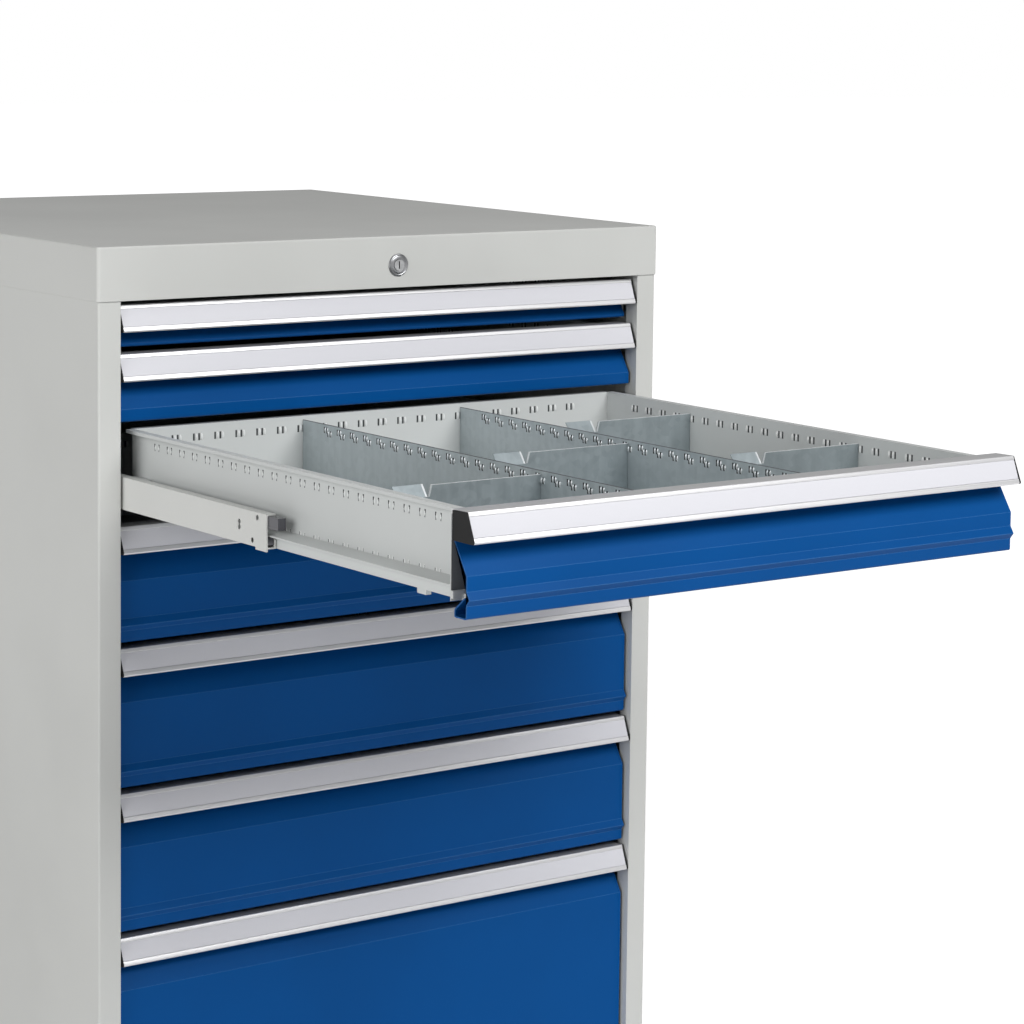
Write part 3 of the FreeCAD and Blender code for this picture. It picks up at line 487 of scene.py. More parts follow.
class Finish(Enum):
    """Every finish on the cabinet."""

    # Each powder coat's second colour is its painted highlight along edges and bends; the
    # front's light blue, with its low sharp limit, paints thin highlight lines at its bends.
    HOUSING = PowderCoat("housing_powder_coat", linear(206, 207, 204))
    TRAY = PowderCoat("tray_powder_coat", linear(207, 210, 209), linear(232, 234, 233))
    FRONT = PowderCoat("front_powder_coat", linear(4, 76, 142), linear(84, 136, 194),
                       gloss_roughness=0.36, peel=0.02, cloud=0.03, edge_highlight_share=0.6,
                       specular=0.07, edge_radius=1.1, sharp=0.045)
    SLIDE = PowderCoat("slide_paint", linear(216, 217, 214), gloss_roughness=0.46)
    HANDLE = DrawnAluminium("handle_anodised", (0.67, 0.67, 0.68), 0.36)
    LABEL = CardStrip("label_strip_white", linear(218, 218, 224))
    # Lighter copy of the tray paint: a painted highlight on the tray's pressed bumps.
    BUMP_HIGHLIGHT = PowderCoat("pressed_bump_painted_highlight", linear(236, 238, 237), linear(244, 245, 244))
    CAP = MouldedPlastic("end_cap_plastic", linear(30, 30, 31), 0.5, 0.12)
    ROLLER = MouldedPlastic("roller_plastic", linear(52, 56, 57), 0.4, 0.25)
    DIVIDER = ZincSheet("divider_zinc", linear(198, 206, 209), linear(182, 191, 194))
    # Darker copy of the divider zinc: painted shade on the cross plates, which face the front
    # and reflect its dark inside.
    CROSS = ZincSheet("cross_divider_painted_shade_zinc", linear(168, 178, 182), linear(152, 162, 166))
    # Lighter copy of the divider zinc: a painted highlight on the divider bumps and on the
    # flaps' bright strips.
    ZINC_HIGHLIGHT = ZincSheet("divider_painted_highlight_zinc", linear(230, 234, 235), linear(216, 221, 223))
    LOCK = TurnedMetal("lock_plating", linear(158, 159, 161), 0.3)
    ROD = TurnedMetal("rod_zinc", linear(186, 187, 188), 0.34, fine=900)
    # Painted shadow, dark grey: the gaps beside the pressed bumps and the dots of the lances.
    SLIT = MouldedPlastic("pressed_gap_shadow", linear(58, 60, 62))
    # Painted shade, mid grey: the outer strokes of the tray lances, the dark plates beside the
    # fronts and the dark top rims of the long dividers.
    PAINTED_SHADE = MouldedPlastic("pressed_edge_painted_shade", linear(112, 115, 117))

    def material(self) -> bpy.types.Material:
        """The finish's material, made on first use."""
        found = bpy.data.materials.get(self.value.name)
        return found or self.value.make()


SLOT_FINISH = {
    "housing_paint": Finish.HOUSING, "front_paint": Finish.FRONT, "tray_paint": Finish.TRAY,
    "handle_aluminium": Finish.HANDLE, "label_plastic": Finish.LABEL,
    "cap_plastic": Finish.CAP, "slide_steel": Finish.SLIDE, "roller_plastic": Finish.ROLLER,
    "divider_steel": Finish.DIVIDER, "lock_chrome": Finish.LOCK, "rod_steel": Finish.ROD,
}


# Drawing


@dataclass(frozen=True)
class Tag:
    """A piece's name, finish, body and material slot, and the CAD nodes it stands for."""

    name: str
    finish: Finish
    body: str
    slot: str
    replaces: Sequence[str] = ()

    def dress(self, mesh: bpy.types.Mesh) -> None:
        """Makes the piece of a mesh."""
        mesh.shade_smooth()
        mesh.set_sharp_from_angle(angle=SMOOTH_ANGLE)
        mesh.materials.clear()
        mesh.materials.append(self.finish.material())
        piece = bpy.data.objects.new(self.name, mesh)
        bpy.context.scene.collection.objects.link(piece)
        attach(piece, self.body)
        if self.replaces:
            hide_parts(*self.replaces)
        LOG.info("%s: %d faces on %s", self.name, len(mesh.polygons), self.body)


@dataclass(frozen=True)
class Bend:
    """Corner of a section, with its radius in millimetres."""

    u: float
    v: float
    radius: float = 0.0


def rounded(bends: Sequence[Bend], closed: bool = False) -> list[Pair]:
    """Turns corners with radii into points.

    Args:
        bends: The corners in order.
        closed: Whether the last joins the first.

    Returns:
        The points, with each bend as a few short facets.
    """
    points: list[Pair] = []
    corners = [Vector((bend.u, bend.v)) for bend in bends]
    last = len(bends) - 1
    for i, bend in enumerate(bends):
        if bend.radius <= 0 or (not closed and i in (0, last)):
            points.append((bend.u, bend.v))
            continue
        here = corners[i]
        before, after = corners[i - 1] - here, corners[i + 1 if i < last else 0] - here
        half = before.angle(after) / 2
        reach = min(bend.radius / math.tan(half), before.length * 0.49, after.length * 0.49)
        radius = reach * math.tan(half)
        start = here + before.normalized() * reach
        end = here + after.normalized() * reach
        middle = here + (before.normalized() + after.normalized()).normalized() * (
            radius / math.sin(half))
        spoke = start - middle
        turn = spoke.angle_signed(end - middle)
        for step in range(BEND_FACETS + 1):
            spun = Matrix.Rotation(-turn * step / BEND_FACETS, 2) @ spoke
            points.append(tuple(middle + spun))
    return points


def sheet_outline(run: Sequence[Pair], thickness: float) -> list[Pair]:
    """Outline of a sheet that follows an open run and lies on its left.

    Args:
        run: Points of the sheet's visible face.
        thickness: The sheet's thickness.

    Returns:
        The closed outline.
    """
    inner: list[Pair] = []
    for i, (u, v) in enumerate(run):
        normals = []
        for a, b in ((i - 1, i), (i, i + 1)):
            if 0 <= a and b < len(run):
                step = Vector((run[b][0] - run[a][0], run[b][1] - run[a][1])).normalized()
                normals.append(Vector((-step.y, step.x)))
        total = normals[0] + normals[-1]
        scale = thickness / (1 + normals[0].dot(normals[-1]))
        inner.append((u + total.x * scale, v + total.y * scale))
    return list(run) + inner[::-1]


class Draft:
    """Mesh of one piece while it is drawn, in millimetres of the shared frame."""

    def __init__(self) -> None:
        """Starts with nothing drawn."""
        self.mesh = bmesh.new()

    def extrude(self, outline: Sequence[Pair], put: Put, start: float, end: float) -> None:
        """Draws a closed section from start to end.

        Args:
            outline: The section.
            put: Turns a section point and a distance into a place.
            start: Where the section starts.
            end: Where it ends.
        """
        rings = [[self.mesh.verts.new(Vector(put(u, v, w)) * MM) for u, v in outline]
                 for w in (start, end)]
        count = len(outline)
        for i in range(count):
            j = (i + 1) % count
            self.mesh.faces.new((rings[0][i], rings[0][j], rings[1][j], rings[1][i]))
        caps = [self.mesh.faces.new(rings[0][::-1]), self.mesh.faces.new(rings[1])]
        for cap in caps:
            cap.normal_update()
        bmesh.ops.triangulate(self.mesh, faces=caps, ngon_method="EAR_CLIP")

    def block(self, low: Triple, high: Triple) -> None:
        """Draws a block between two corners."""
        outline = [(low[0], low[1]), (high[0], low[1]), (high[0], high[1]), (low[0], high[1])]
        self.extrude(outline, lambda u, v, w: (u, v, w), low[2], high[2])

    def lathe(self, profile: Sequence[Pair], centre: Pair, facets: int = 64) -> None:
        """Draws a ring turned about an axis along y.

        Args:
            profile: Closed section of radius and y pairs.
            centre: The axis in x and z.
            facets: Facets of a full turn.
        """
        turns = [math.tau * i / facets for i in range(facets)]
        rings = [[self.mesh.verts.new(Vector((centre[0] + radius * math.cos(turn), y,
                                              centre[1] + radius * math.sin(turn))) * MM)
                  for turn in turns] for radius, y in profile]
        for first, second in zip(rings, rings[1:] + rings[:1]):
            for i in range(facets):
                j = (i + 1) % facets
                self.mesh.faces.new((first[i], first[j], second[j], second[i]))

    def piece(self, tag: Tag) -> None:
        """Turns the drawing into the piece of a tag."""
        bmesh.ops.remove_doubles(self.mesh, verts=self.mesh.verts, dist=1e-7)
        bmesh.ops.recalc_face_normals(self.mesh, faces=self.mesh.faces)
        mesh = bpy.data.meshes.new(tag.name)
        self.mesh.to_mesh(mesh)
        self.mesh.free()
        tag.dress(mesh)


@dataclass(frozen=True)
class Corners:
    """Lowest and highest corner of a node, in millimetres."""

    low: Vector
    high: Vector

    @classmethod
    def of(cls, node: str) -> "Corners":
        """Corners of a CAD node at rest."""
        low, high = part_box(node)
        return cls(Vector(low) / MM, Vector(high) / MM)


# Repeated forms


class Form(Enum):
    """Small form that a field repeats."""

    BUMP = "bump"
    SLIT = "slit"


@dataclass
class FieldOfForms:
    """One small form repeated at marked places by Geometry Nodes.

    Each mark is a vertex with a turn of its own; the form's sizes are named inputs.
    """

    form: Form
    size: Triple
    marks: list[tuple[Triple, Triple]] = field(default_factory=list)

    def add(self, place: Triple, turn: float) -> None:
        """Marks one place, in millimetres, with its turn about z."""
        self.marks.append((place, (0, 0, turn)))

    def tree(self) -> bpy.types.NodeTree:
        """Builds the tree: instance, scale, realize, set material."""
        tree = bpy.data.node_groups.new(f"{self.form.value}_field", "GeometryNodeTree")
        kinds = {"Marks": "Geometry", **dict.fromkeys(SIDES, "Float"), "Material": "Material"}
        for name, kind in kinds.items():
            tree.interface.new_socket(name, in_out="INPUT", socket_type=f"NodeSocket{kind}")
        tree.interface.new_socket("Field", in_out="OUTPUT", socket_type="NodeSocketGeometry")
        graph = Graph(tree)
        entry = graph.node("NodeGroupInput")
        size = graph.node("ShaderNodeCombineXYZ",
                          {axis: entry[side] for axis, side in zip("XYZ", SIDES)})
        if self.form is Form.BUMP:
            form = graph.node("GeometryNodeMeshUVSphere",
                              {"Segments": 10, "Rings": 6, "Radius": 0.5})
        else:
            form = graph.node("GeometryNodeMeshCube")
        turn = graph.node("GeometryNodeInputNamedAttribute", {"Name": "turn"},
                          data_type="FLOAT_VECTOR")
        spread = graph.node("GeometryNodeInstanceOnPoints",
                            {"Points": entry["Marks"], "Instance": form["Mesh"],
                             "Rotation": turn["Attribute"], "Scale": size["Vector"]})
        real = graph.node("GeometryNodeRealizeInstances", {"Geometry": spread["Instances"]})
        finish = graph.node("GeometryNodeSetMaterial", {"Geometry": real["Geometry"],
                                                        "Material": entry["Material"]})
        graph.node("NodeGroupOutput", {"Field": finish["Geometry"]})
        return tree

    def piece(self, tag: Tag) -> None:
        """Repeats the form and turns the result into the plain piece of a tag."""
        marks = bpy.data.meshes.new(f"{tag.name}_marks")
        marks.from_pydata([Vector(place) * MM for place, _ in self.marks], [], [])
        turns = marks.attributes.new("turn", "FLOAT_VECTOR", "POINT")
        for item, (_, turn) in zip(turns.data, self.marks):
            item.vector = turn
        carrier = bpy.data.objects.new(f"{tag.name}_carrier", marks)
        bpy.context.scene.collection.objects.link(carrier)
        modifier = carrier.modifiers.new("field", "NODES")
        modifier.node_group = self.tree()
        values = dict(zip(SIDES, (length * MM for length in self.size)),
                      Material=tag.finish.material())
        for item in modifier.node_group.interface.items_tree:
            if item.in_out == "INPUT" and item.name in values:
                modifier[item.identifier] = values[item.name]
        graph = bpy.context.evaluated_depsgraph_get()
        mesh = bpy.data.meshes.new_from_object(carrier.evaluated_get(graph))
        carrier.modifiers.remove(modifier)
        bpy.data.objects.remove(carrier)
        if "turn" in mesh.attributes:
            mesh.attributes.remove(mesh.attributes["turn"])
        tag.dress(mesh)


# Light and camera


@dataclass(frozen=True)
class SoftBox:
    """Rectangular lamp: where it stands, what it faces, watts, and its size in metres."""

    name: str
    place: Triple
    aim: Triple
    power: float
    width: float
    height: float

    def build(self) -> None:
        """Makes the lamp."""
        data = bpy.data.lights.new(self.name, "AREA")
        data.shape = "RECTANGLE"
        data.size, data.size_y = self.width, self.height
        data.energy = self.power
        lamp = bpy.data.objects.new(self.name, data)
        lamp.location = self.place
        facing = Vector(self.aim) - Vector(self.place)
        lamp.rotation_euler = facing.to_track_quat("-Z", "Y").to_euler()
        bpy.context.scene.collection.objects.link(lamp)


@dataclass
class Studio:
    """Camera, pale floor, white backdrop and soft lamps."""

    position: Triple = (-1.8471, -3.1668, 1.2677)
    yaw: float = 37.81
    pitch: float = -5.55
    roll: float = 0.9
    lens: float = 111.35
    shift: Pair = (-0.1219, -0.196)
    ambient: float = 0.15
    in_gloss: float = 0.4
    reach: float = 30.0
    lamps: tuple[SoftBox, ...] = (
        SoftBox("key_softbox", (0.9, -4.7, 3.6), (0, -0.4, 0.6), 208, 3.2, 2.2),
        SoftBox("left_softbox", (-4.42, -1.2, 2.04), (0, 0, 0.6), 98, 3.6, 2.8))

    def camera(self) -> None:
        """Makes the camera that stands where the photograph was taken."""
        yaw, pitch, roll = (math.radians(a) for a in (self.yaw, self.pitch, self.roll))
        forward = Vector((math.sin(yaw) * math.cos(pitch), math.cos(yaw) * math.cos(pitch),
                          math.sin(pitch)))
        right = Vector((math.cos(yaw), -math.sin(yaw), 0))
        up = right.cross(forward)
        across = right * math.cos(roll) + up * math.sin(roll)
        upright = up * math.cos(roll) - right * math.sin(roll)
        data = bpy.data.cameras.new("view_camera")
        data.sensor_width = 36
        data.lens = self.lens
        data.shift_x, data.shift_y = self.shift
        camera = bpy.data.objects.new("view_camera", data)
        frame = Matrix((across, upright, -forward)).transposed().to_4x4()
        frame.translation = Vector(self.position)
        camera.matrix_world = frame
        bpy.context.scene.collection.objects.link(camera)
        bpy.context.scene.camera = camera

    def world(self) -> None:
        """White behind the object, a grey level in its gloss and a lower one as its light."""
        world = bpy.data.worlds.new("studio_world")
        bpy.context.scene.world = world
        world.use_nodes = True
        graph = Graph(world.node_tree)
        camera, glossy, through = graph.rays("Camera", "Glossy", "Transmission")
        soft, gloss, white = (
            graph.node("ShaderNodeBackground", {"Color": WHITE, "Strength": level})[0]
            for level in (self.ambient, self.in_gloss, 1.0))
        light = graph.mix(camera + through, graph.mix(glossy, soft, gloss), white)
        graph.node("ShaderNodeOutputWorld", {"Surface": light})

    def floor(self) -> None:
        """Lays the pale floor, which the camera sees as white with its soft shadow."""
        mesh = bpy.data.meshes.new("studio_floor")
        far = self.reach
        mesh.from_pydata([(-far, -far, 0), (far, -far, 0), (far, far, 0), (-far, far, 0)],
                         [], [(0, 1, 2, 3)])
        graph = FinishGraph("studio_floor_paint")
        pale = graph.blend(graph.noise(1.5), (0.80, 0.80, 0.80), (0.84, 0.84, 0.84))
        length = graph.node("ShaderNodeVectorMath", {0: graph.place()}, operation="LENGTH")
        away = Wire(graph, length["Value"]).between(1.5, 5)
        glow = graph.blend(away, (0.66, 0.66, 0.66), WHITE)
        camera, glossy, through = graph.rays("Camera", "Glossy", "Transmission")
        plain = {"Base Color": pale, "Roughness": 0.9, "Specular IOR Level": 0.0}
        matt = graph.node("ShaderNodeBsdfPrincipled", plain)[0]
        bright = graph.node("ShaderNodeBsdfPrincipled",
                            plain | {"Emission Color": glow, "Emission Strength": 1.0})[0]
        mixed = graph.mix(camera + glossy + through, matt, bright)
        graph.node("ShaderNodeOutputMaterial", {"Surface": mixed})
        mesh.materials.append(graph.material)
        floor = bpy.data.objects.new("studio_floor", mesh)
        bpy.context.scene.collection.objects.link(floor)

    def build(self) -> None:
        """Sets the lamps, the world and the floor."""
        bpy.context.scene.view_settings.view_transform = "Standard"
        for lamp in self.lamps:
            lamp.build()
        self.world()
        self.floor()


# Drawers


def grip(level: float, inset: float = 0) -> float:
    """Place of the handle's leaning face.

    Args:
        level: Height, counted from the handle's top.
        inset: How far behind the face.

    Returns:
        Distance behind the handle's front edge.
    """
    return GRIP_DEPTH + level * GRIP_DEPTH / GRIP_HEIGHT + inset


@dataclass
class Drawer:
    """One drawer's own pieces: front, handle, strip, caps, corners and tray lances.

    Depths count from the handle's front edge, heights from its top.
    """

    number: int
    sheet: float = 1.25
    recess: float = 30
    recess_bottom: float = 27
    flange_drop: float = 4.5
    face: float = 11
    slope_bottom: float = 56
    rib: tuple[Pair, ...] = ((0, 24.5), (4.5, 17.5), (0, 12))
    hem: tuple[Pair, ...] = ((18.5, 0), (18.5, 7), (3.5, 19))
    crisp: float = 0.4
    soft: float = 2.5
    rim_half: float = 309
    rear: float = 35
    groove: Pair = (-4, -22)
    groove_depth: float = 0.9
    wall: float = 2.4
    web: float = 28.5
    web_low: float = -12
    foot: float = -27.3
    toe: float = -25.3
    strip: Pair = (-4.2, -21.8)
    strip_depth: Pair = (0.4, 0.9)
    strip_short: float = 0.2
    cap_rear: float = 31.7
    cap_sheet: float = 1.5
    # Span across and depth of the dark plates of painted shade beside the front.
    shade_plate_span: Pair = (300, 322.9)
    shade_plate_depth: Pair = (-0.6, -0.05)
    lip: Pair = (2.5, 9.4)
    lip_depth: float = 2.4
    floor_rise: float = 4.5
    ears: float = 19

    def __post_init__(self) -> None:
        """Reads the drawer's place from its CAD nodes."""
        self.body = f"drawer_{self.number}"
        handle, front, tray = (Corners.of(f"{self.body}_{part}")
                               for part in ("handle", "front", "tray"))
        self.half = handle.high.x
        self.ahead = handle.low.y
        self.top = handle.high.z
        self.tall = self.top - front.low.z
        self.floor = tray.low.z + self.floor_rise - self.top
        self.inner_front = self.ahead + INNER_FRONT
        self.inner_back = tray.high.y - self.ears

    def across(self, u: float, v: float, w: float) -> Triple:
        """Places a section of y and z at a distance along x."""
        return w, self.ahead + u, self.top + v

    def tag(self, name: str, finish: Finish, slot: str, node: str = "") -> Tag:
        """Tag of one of the drawer's pieces.

        Args:
            name: What the piece's name ends with.
            finish: Its finish.
            slot: The record's material slot that it belongs to.
            node: What the name ends with of a CAD node that it stands for.

        Returns:
            The tag.
        """
        stands_for = [f"{self.body}_{node}"] if node else []
        return Tag(f"{self.body}_{name}", finish, self.body, slot, stands_for)

    def section(self, tag: Tag, bends: Sequence[Bend], *spans: Pair) -> None:
        """Makes one piece of a closed section.

        Args:
            tag: The piece's tag.
            bends: Corners of the section.
            spans: Starts and ends of its bars in x.
        """
        draft = Draft()
        for start, end in spans:
            draft.extrude(rounded(bends, closed=True), self.across, start, end)
        draft.piece(tag)

    def front_bends(self) -> list[Bend]:
        """Visible face of the front, from under the handle to its bottom return."""
        low, recess, face = -self.tall, self.recess, self.face
        ribbed = self.tall > self.slope_bottom + self.rib[0][1]
        bends = [Bend(recess, -self.flange_drop), Bend(recess, -self.recess_bottom, 3.5)]
        if self.tall <= self.slope_bottom:
            share = (self.tall - self.recess_bottom) / (self.slope_bottom - self.recess_bottom)
            bends.append(Bend(recess - (recess - face) * share, low, self.soft))
        else:
            bends.append(Bend(face, -self.slope_bottom, self.crisp))
            if ribbed:
                bends += [Bend(face - proud, low + rise, self.crisp) for proud, rise in self.rib]
            bends.append(Bend(face, low, self.soft))
        hem = self.hem if ribbed else self.hem[:2]
        return bends + [Bend(face + depth, low + rise, 1.6) for depth, rise in hem]

    def build_front(self) -> None:
        """Folded front with rounded bends and its top flange."""
        draft = Draft()
        run = rounded(self.front_bends())
        draft.extrude(sheet_outline(run, self.sheet), self.across, -self.half, self.half)
        flange = self.top - self.flange_drop
        draft.block((-self.rim_half, self.ahead + self.recess, flange - self.sheet),
                    (self.rim_half, self.ahead + self.rear, flange))
        draft.piece(self.tag("folded_front", Finish.FRONT, "front_paint", "front"))

    def build_handle(self) -> None:
        """Handle bar across the whole drawer, with its groove and small radii."""
        (top, low), deep, wall = self.groove, self.groove_depth, self.wall
        foot, toe, web, hook = self.foot, self.toe, self.web, -self.flange_drop
        bends = [Bend(self.rear, -0.5, 0.8), Bend(GRIP_DEPTH, 0, 1.0),
                 Bend(grip(top), top, 0.25), Bend(grip(top, deep), top),
                 Bend(grip(low, deep), low), Bend(grip(low), low, 0.25),
                 Bend(0, -GRIP_HEIGHT, 0.9), Bend(1.2, foot, 0.4), Bend(4.5, foot, 0.5),
                 Bend(4.5, toe, 0.4), Bend(grip(toe, wall), toe, 0.8),
                 Bend(grip(-2.2, wall), -2.2, 1.2), Bend(web, -2.7, 0.8),
                 Bend(web, self.web_low), Bend(self.recess, self.web_low),
                 Bend(self.recess, hook), Bend(self.rear, hook)]
        self.section(self.tag("handle_bar", Finish.HANDLE, "handle_aluminium", "handle"),
                     bends, (-self.half, self.half))

    def build_strip(self) -> None:
        """Plain strip in the handle's groove, with softened edges."""
        (top, low), (skin, back) = self.strip, self.strip_depth
        bends = [Bend(grip(top, skin), top, 0.15), Bend(grip(top, back), top),
                 Bend(grip(low, back), low), Bend(grip(low, skin), low, 0.15)]
        end = self.half - self.strip_short
        self.section(self.tag("label_strip", Finish.LABEL, "label_plastic", "label"),
                     bends, (-end, end))

    def build_caps(self) -> None:
        """End caps of the handle with rounded corners."""
        bends = [Bend(self.cap_rear, -0.9, 0.8), Bend(10.4, -0.4, 1.2), Bend(-0.4, -25.6, 1.0),
                 Bend(1.2, self.foot, 0.5), Bend(self.cap_rear, self.foot, 1.5)]
        inner, outer = self.half, self.half + self.cap_sheet
        self.section(self.tag("cap_pair", Finish.CAP, "cap_plastic", "end_caps"),
                     bends, (-inner, -outer), (inner, outer))

    def build_corners(self) -> None:
        """Dark plates of painted shade beside the front, over the shaded gap between the front
        and the tray's front plate, and the tray's pale corner pieces under them.
        """
        shade_plates, lips = Draft(), Draft()
        low, high = (self.top + self.floor + level for level in self.lip)
        under_cap = self.top - self.recess_bottom - 0.5
        near, far = (self.ahead + self.rear + depth for depth in self.shade_plate_depth)
        for side in (-1, 1):
            inner, outer = sorted(side * place for place in self.shade_plate_span)
            shade_plates.block((inner, near, high + 0.1), (outer, far, under_cap))
            lips.block((inner, near - self.lip_depth, low), (outer, far, high))
        shade_plates.piece(self.tag("front_painted_shade", Finish.PAINTED_SHADE, "cap_plastic"))
        lips.piece(self.tag("corner_lips", Finish.TRAY, "tray_paint"))

    def build(self) -> None:
        """Builds every piece of the drawer."""
        self.build_front()
        self.build_handle()
        self.build_strip()
        self.build_caps()
        if self.tall > self.slope_bottom:
            self.build_corners()
        TrayLances(self).build()


@dataclass
class TrayLances:
    """Pressed lances of a tray's walls, which hold the dividers.

    Inside, each is a pair of upright bumps, painted lighter as a painted highlight, with a dark
    gap of painted shadow beside each, on a 25 mm grid.
    Outside, each shows as two fine strokes, dark marks of painted shade. Each form has a width,
    thickness and height.
    """

    drawer: Drawer
    bump: Triple = (3.0, 3.0, 7.4)
    slit: Triple = (1.9, 0.24, 7.4)
    stroke: Triple = (1.3, 0.2, 7.4)
    dot: Triple = (1.56, 0.24, 3.33)
    pair_gap: float = 6.2
    bump_shift: float = 0.3
    slit_shift: float = -2.6
    slit_rise: float = 0.02
    stroke_gap: float = 7.8
    stroke_shift: float = 0.6
    dot_shift: Pair = (0.7, 1.9)
    wall: float = 1
    upper: float = -16.2
    lower_above_floor: float = 17

    def __post_init__(self) -> None:
        """Starts a field for each form."""
        self.bumps = FieldOfForms(Form.BUMP, self.bump)
        self.slits, self.strokes, self.dots = (
            FieldOfForms(Form.SLIT, size) for size in (self.slit, self.stroke, self.dot))

    def mark_inside(self, put: Callable[[float, float], Triple], turn: float) -> None:
        """Marks one row along a wall's inner face.

        Args:
            put: Turns a distance along the wall and a rise off it into a place.
            turn: The wall's turn about z.
        """
        for step, half in product(LANCE_STEPS, HALVES):
            along = GRID * step + self.pair_gap * half
            self.bumps.add(put(along + self.bump_shift, 0), turn)
            self.slits.add(put(along + self.slit_shift, self.slit_rise), turn)

    def mark_outside(self, side: int, level: float, upper: bool) -> None:
        """Marks one row of strokes on a side wall's outer face.

        Args:
            side: -1 for the left wall, 1 for the right.
            level: The row's height.
            upper: Whether this is the upper row.
        """
        x = side * (INNER_HALF + self.wall)
        front = self.drawer.inner_front + self.stroke_shift
        for step, half in product(LANCE_STEPS, HALVES):
            along, height = front + GRID * step + self.stroke_gap * half, level
            if upper:
                self.strokes.add((x, along, height), QUARTER_TURN)
                along += self.dot_shift[0] * half
                height += self.dot_shift[1]
            self.dots.add((x, along, height), QUARTER_TURN)

    def build(self) -> None:
        """Marks every row and makes the four pieces."""
        drawer, inner = self.drawer, INNER_HALF
        front, back = drawer.inner_front, drawer.inner_back
        for upper, level in ((True, self.upper), (False, drawer.floor + self.lower_above_floor)):
            z = drawer.top + level
            for side in (-1, 1):
                self.mark_inside(lambda a, rise, s=side: (s * (inner - rise), front + a, z),
                                 QUARTER_TURN)
                self.mark_outside(side, z, upper)
            self.mark_inside(lambda a, rise: (a - inner, back - rise, z), 0)
            self.mark_inside(lambda a, rise: (a - inner, front + rise, z), 0)
        # Bumps get a lighter paint as a painted highlight; gaps, strokes and dots are dark marks
        # of painted shadow and shade.
        for forms, part, finish in ((self.bumps, "bumps", Finish.BUMP_HIGHLIGHT),
                                    (self.slits, "gaps", Finish.SLIT),
                                    (self.strokes, "strokes", Finish.PAINTED_SHADE),
                                    (self.dots, "dots", Finish.SLIT)):
            forms.piece(drawer.tag(f"lance_{part}", finish, "tray_paint"))


@dataclass
class Dividers:
    """Long plates of the open drawer and the cross plates between them.

    Each cross plate has a leaning label flap, with a notch between flap and plate.
    """

    drawer: Drawer
    half_sheet: float = 0.5
    fit: float = 0.3
    floor_sheet: float = 1
    long_drop: float = 7
    cross_drop: float = 10.5
    flap: Pair = (37, 70.5)
    flap_height: float = 11
    flap_lean: float = 8.5
    notch: float = 3.5
    notch_foot: float = 0.6
    # Width and proud of the bright strips of painted highlight.
    lip: float = 1.9
    highlight_proud: float = 0.25
    edge: float = 0.5
    edge_proud: float = 0.05
    steps: tuple[tuple[int, int], ...] = ((0, 7), (1, 12), (2, 7), (2, 18))

    def __post_init__(self) -> None:
        """Finds the top face of the tray's floor and starts the drawings."""
        self.low = self.drawer.top + self.drawer.floor + self.floor_sheet
        self.sheets, self.crosses, self.lips, self.painted_dark_rims = Draft(), Draft(), Draft(), Draft()

    def cross_plate(self, left: float, right: float, place: float) -> None:
        """Draws one cross plate with its flap, and bright strips of painted highlight at the
        flap's end, the notch and the plate's top.

        Args:
            left: Its left end.
            right: Its right end.
            place: Its place along the drawer.
        """
        top = self.drawer.top - self.cross_drop
        bend = top - self.flap_height
        start, end = (left + step for step in self.flap)
        foot, notch = end + self.notch_foot, end + self.notch

        def wide(u: float, v: float, w: float) -> Triple:
            """Puts a section of x and z at a place along the drawer."""
            return u, w, v

        def long(u: float, v: float, w: float) -> Triple:
            """Puts a section of y and z at a place across the drawer."""
            return w, u, v

        def leaning(half: float) -> list[Pair]:
            """Section of the flap with a half thickness."""
            back = place + self.flap_lean
            return [(place - half, bend), (place + half, bend), (back + half, top),
                    (back - half, top)]

        thin, rim = self.half_sheet, self.half_sheet + self.edge_proud
        proud = self.half_sheet + self.highlight_proud
        upright = [(left, self.low), (right, self.low), (right, top), (notch, top),
                   (foot, bend), (left, bend)]
        self.crosses.extrude(upright, wide, place - thin, place + thin)
        self.crosses.extrude(leaning(thin), long, start, end)
        # Painted highlight: bright strips along the flap's end, the notch's edge and the plate's
        # top.
        self.lips.extrude(leaning(proud), long, end - self.lip, end)
        notch_highlight_arm = [(foot, bend), (foot + self.lip, bend), (notch + self.lip, top), (notch, top)]
        self.lips.extrude(notch_highlight_arm, wide, place - proud, place + proud)
        self.lips.block((notch, place - rim, top - self.edge),
                        (right, place + rim, top + self.edge_proud))

    def build(self) -> None:
        """Draws every plate and makes the four pieces."""
        drawer = self.drawer
        front, back = drawer.inner_front + self.fit, drawer.inner_back - self.fit
        top = drawer.top - self.long_drop
        thin, rim = self.half_sheet, self.half_sheet + self.edge_proud
        for x in DIVIDER_PLACES:
            self.sheets.block((x - thin, front, self.low), (x + thin, back, top))
            # Painted dark reflection: a dark strip along each long plate's top edge.
            self.painted_dark_rims.block((x - rim, front, top - self.edge),
                            (x + rim, back, top + self.edge_proud))
        gap = thin + self.fit
        left, right = DIVIDER_PLACES
        cells = ((self.fit - INNER_HALF, left - gap), (left + gap, right - gap),
                 (right + gap, INNER_HALF - self.fit))
        for cell, step in self.steps:
            self.cross_plate(*cells[cell], drawer.inner_front + GRID * step)
        for draft, name, finish, nodes in (
                (self.sheets, "long_divider_plates", Finish.DIVIDER, ["drawer_dividers"]),
                (self.crosses, "cross_divider_plates", Finish.CROSS, []),
                (self.lips, "divider_painted_highlights", Finish.ZINC_HIGHLIGHT, []),
                (self.painted_dark_rims, "divider_painted_dark_rims", Finish.PAINTED_SHADE, [])):
            draft.piece(Tag(name, finish, drawer.body, "divider_steel", nodes))


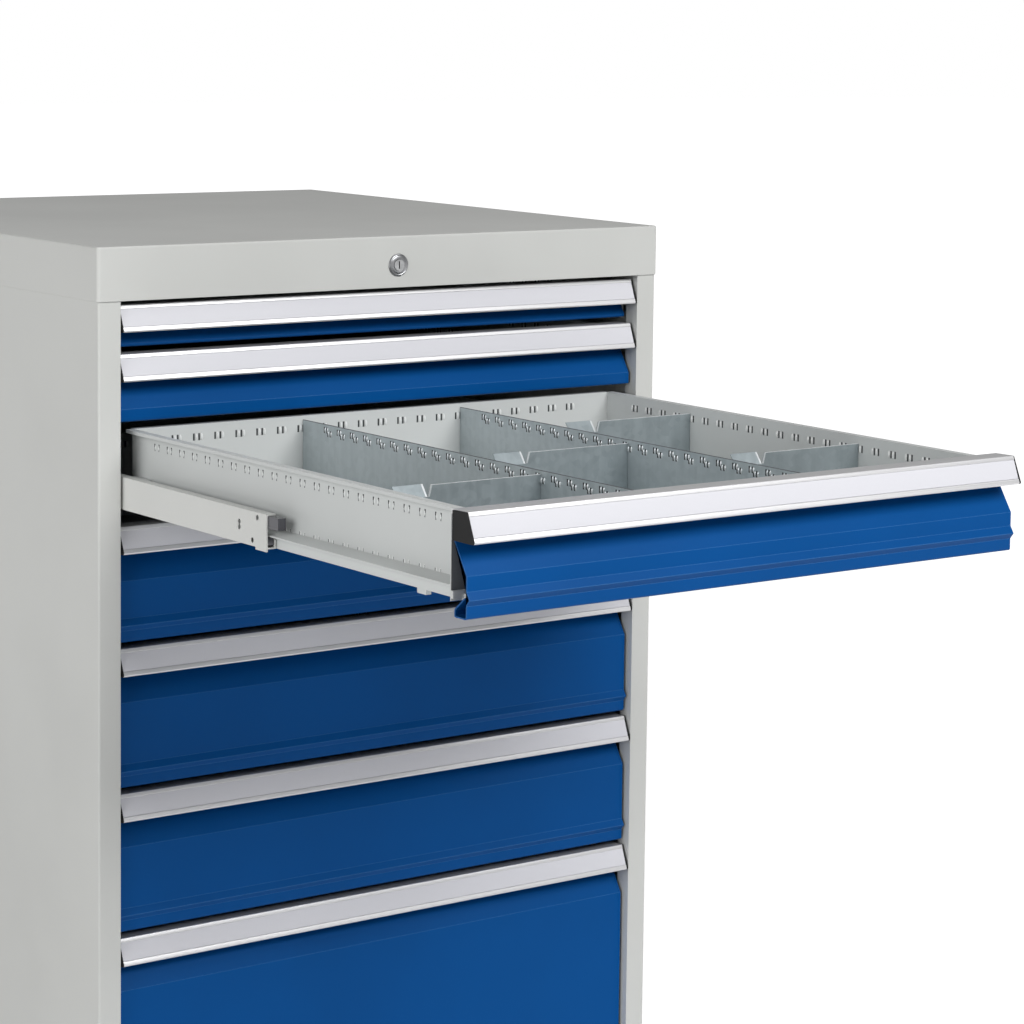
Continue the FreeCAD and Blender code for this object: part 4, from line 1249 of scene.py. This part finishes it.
@dataclass
class DividerLances:
    """Pressed pairs of the long dividers: upper rear one way, lower front the other; bumps in a
    lighter zinc as a painted highlight, gaps as dark marks of painted shadow.
    """

    drawer: Drawer
    bump: Triple = (2.0, 2.0, 5.8)
    slit: Triple = (2.0, 0.2, 6.4)
    half_sheet: float = 0.5
    level: float = -14.8
    spread: float = 3.4
    rise: float = 1.7
    half_gap: float = 2.3
    slit_shift: float = 1.9

    def build(self) -> None:
        """Marks the pairs on both faces and makes the two pieces."""
        drawer = self.drawer
        bumps, slits = FieldOfForms(Form.BUMP, self.bump), FieldOfForms(Form.SLIT, self.slit)
        ways = (-1, 1)
        for x, step, face, way, half in product(DIVIDER_PLACES, LANCE_STEPS, ways, ways, ways):
            skin, level = x + face * self.half_sheet, drawer.top + self.level + self.rise * way
            place = drawer.inner_front + GRID * step + self.spread * way + self.half_gap * half
            bumps.add((skin, place, level), QUARTER_TURN)
            slits.add((skin, place - self.slit_shift * face, level), QUARTER_TURN)
        # Bumps get a lighter zinc as a painted highlight; gaps are dark marks of painted shadow.
        for forms, part, finish in ((bumps, "bumps", Finish.ZINC_HIGHLIGHT),
                                    (slits, "gaps", Finish.SLIT)):
            forms.piece(Tag(f"divider_lance_{part}", finish, drawer.body, "divider_steel"))


# Lock and housing


@dataclass
class Lock:
    """Cylinder with a rounded ring and a nut, open for the plug.

    Rings are pairs of a radius and a depth behind the ring's face.
    """

    x: float = 3.5
    barrel: float = 9.5
    bore: float = 6.1
    rings: tuple[Pair, ...] = ((6.5, 0), (9.2, 0), (9.8, 0.35), (10.6, 0.1), (11.4, 0.35),
                               (12, 1.0), (12, 2.0))
    nut: tuple[Pair, ...] = ((13.5, 3.25), (13.5, 6.25))

    def build(self) -> None:
        """Turns the cylinder about its axis."""
        box = Corners.of("lock_cylinder")
        face = box.low.y
        steps = [(self.bore, 0.3), *self.rings, (self.barrel, self.rings[-1][1]),
                 (self.barrel, self.nut[0][1]), *self.nut, (self.barrel, self.nut[1][1])]
        profile = [(radius, face + depth) for radius, depth in steps]
        profile += [(self.barrel, box.high.y), (self.bore, box.high.y)]
        draft = Draft()
        draft.lathe(profile, (self.x, (box.low.z + box.high.z) / 2))
        draft.piece(Tag("lock_cylinder_turned", Finish.LOCK, "cabinet", "lock_chrome",
                        ["lock_cylinder"]))


@dataclass
class Housing:
    """Carried-over CAD nodes: each gets the finish of its material slot."""

    nodes: dict[str, bpy.types.Object]
    record: dict[str, object]

    def build(self) -> None:
        """Gives every CAD node its finish."""
        for entry in self.record["subparts"]:
            node = self.nodes[entry["node"]]
            finish = SLOT_FINISH[entry["material_slot"]]
            node.data.materials.clear()
            node.data.materials.append(finish.material())
            LOG.info("%s: %s", entry["node"], finish.name)


def main() -> None:
    """Builds the cabinet's looks in order."""
    logging.basicConfig(level=logging.INFO, format="%(name)s %(message)s")
    studio = Studio()
    studio.camera()
    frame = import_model()
    studio.build()
    Housing(frame["nodes"], frame["record"]).build()
    drawers = [Drawer(number) for number in DRAWERS]
    for drawer in drawers:
        drawer.build()
    Dividers(drawers[OPEN_DRAWER - 1]).build()
    DividerLances(drawers[OPEN_DRAWER - 1]).build()
    Lock().build()


if __name__ == "__main__":
    main()
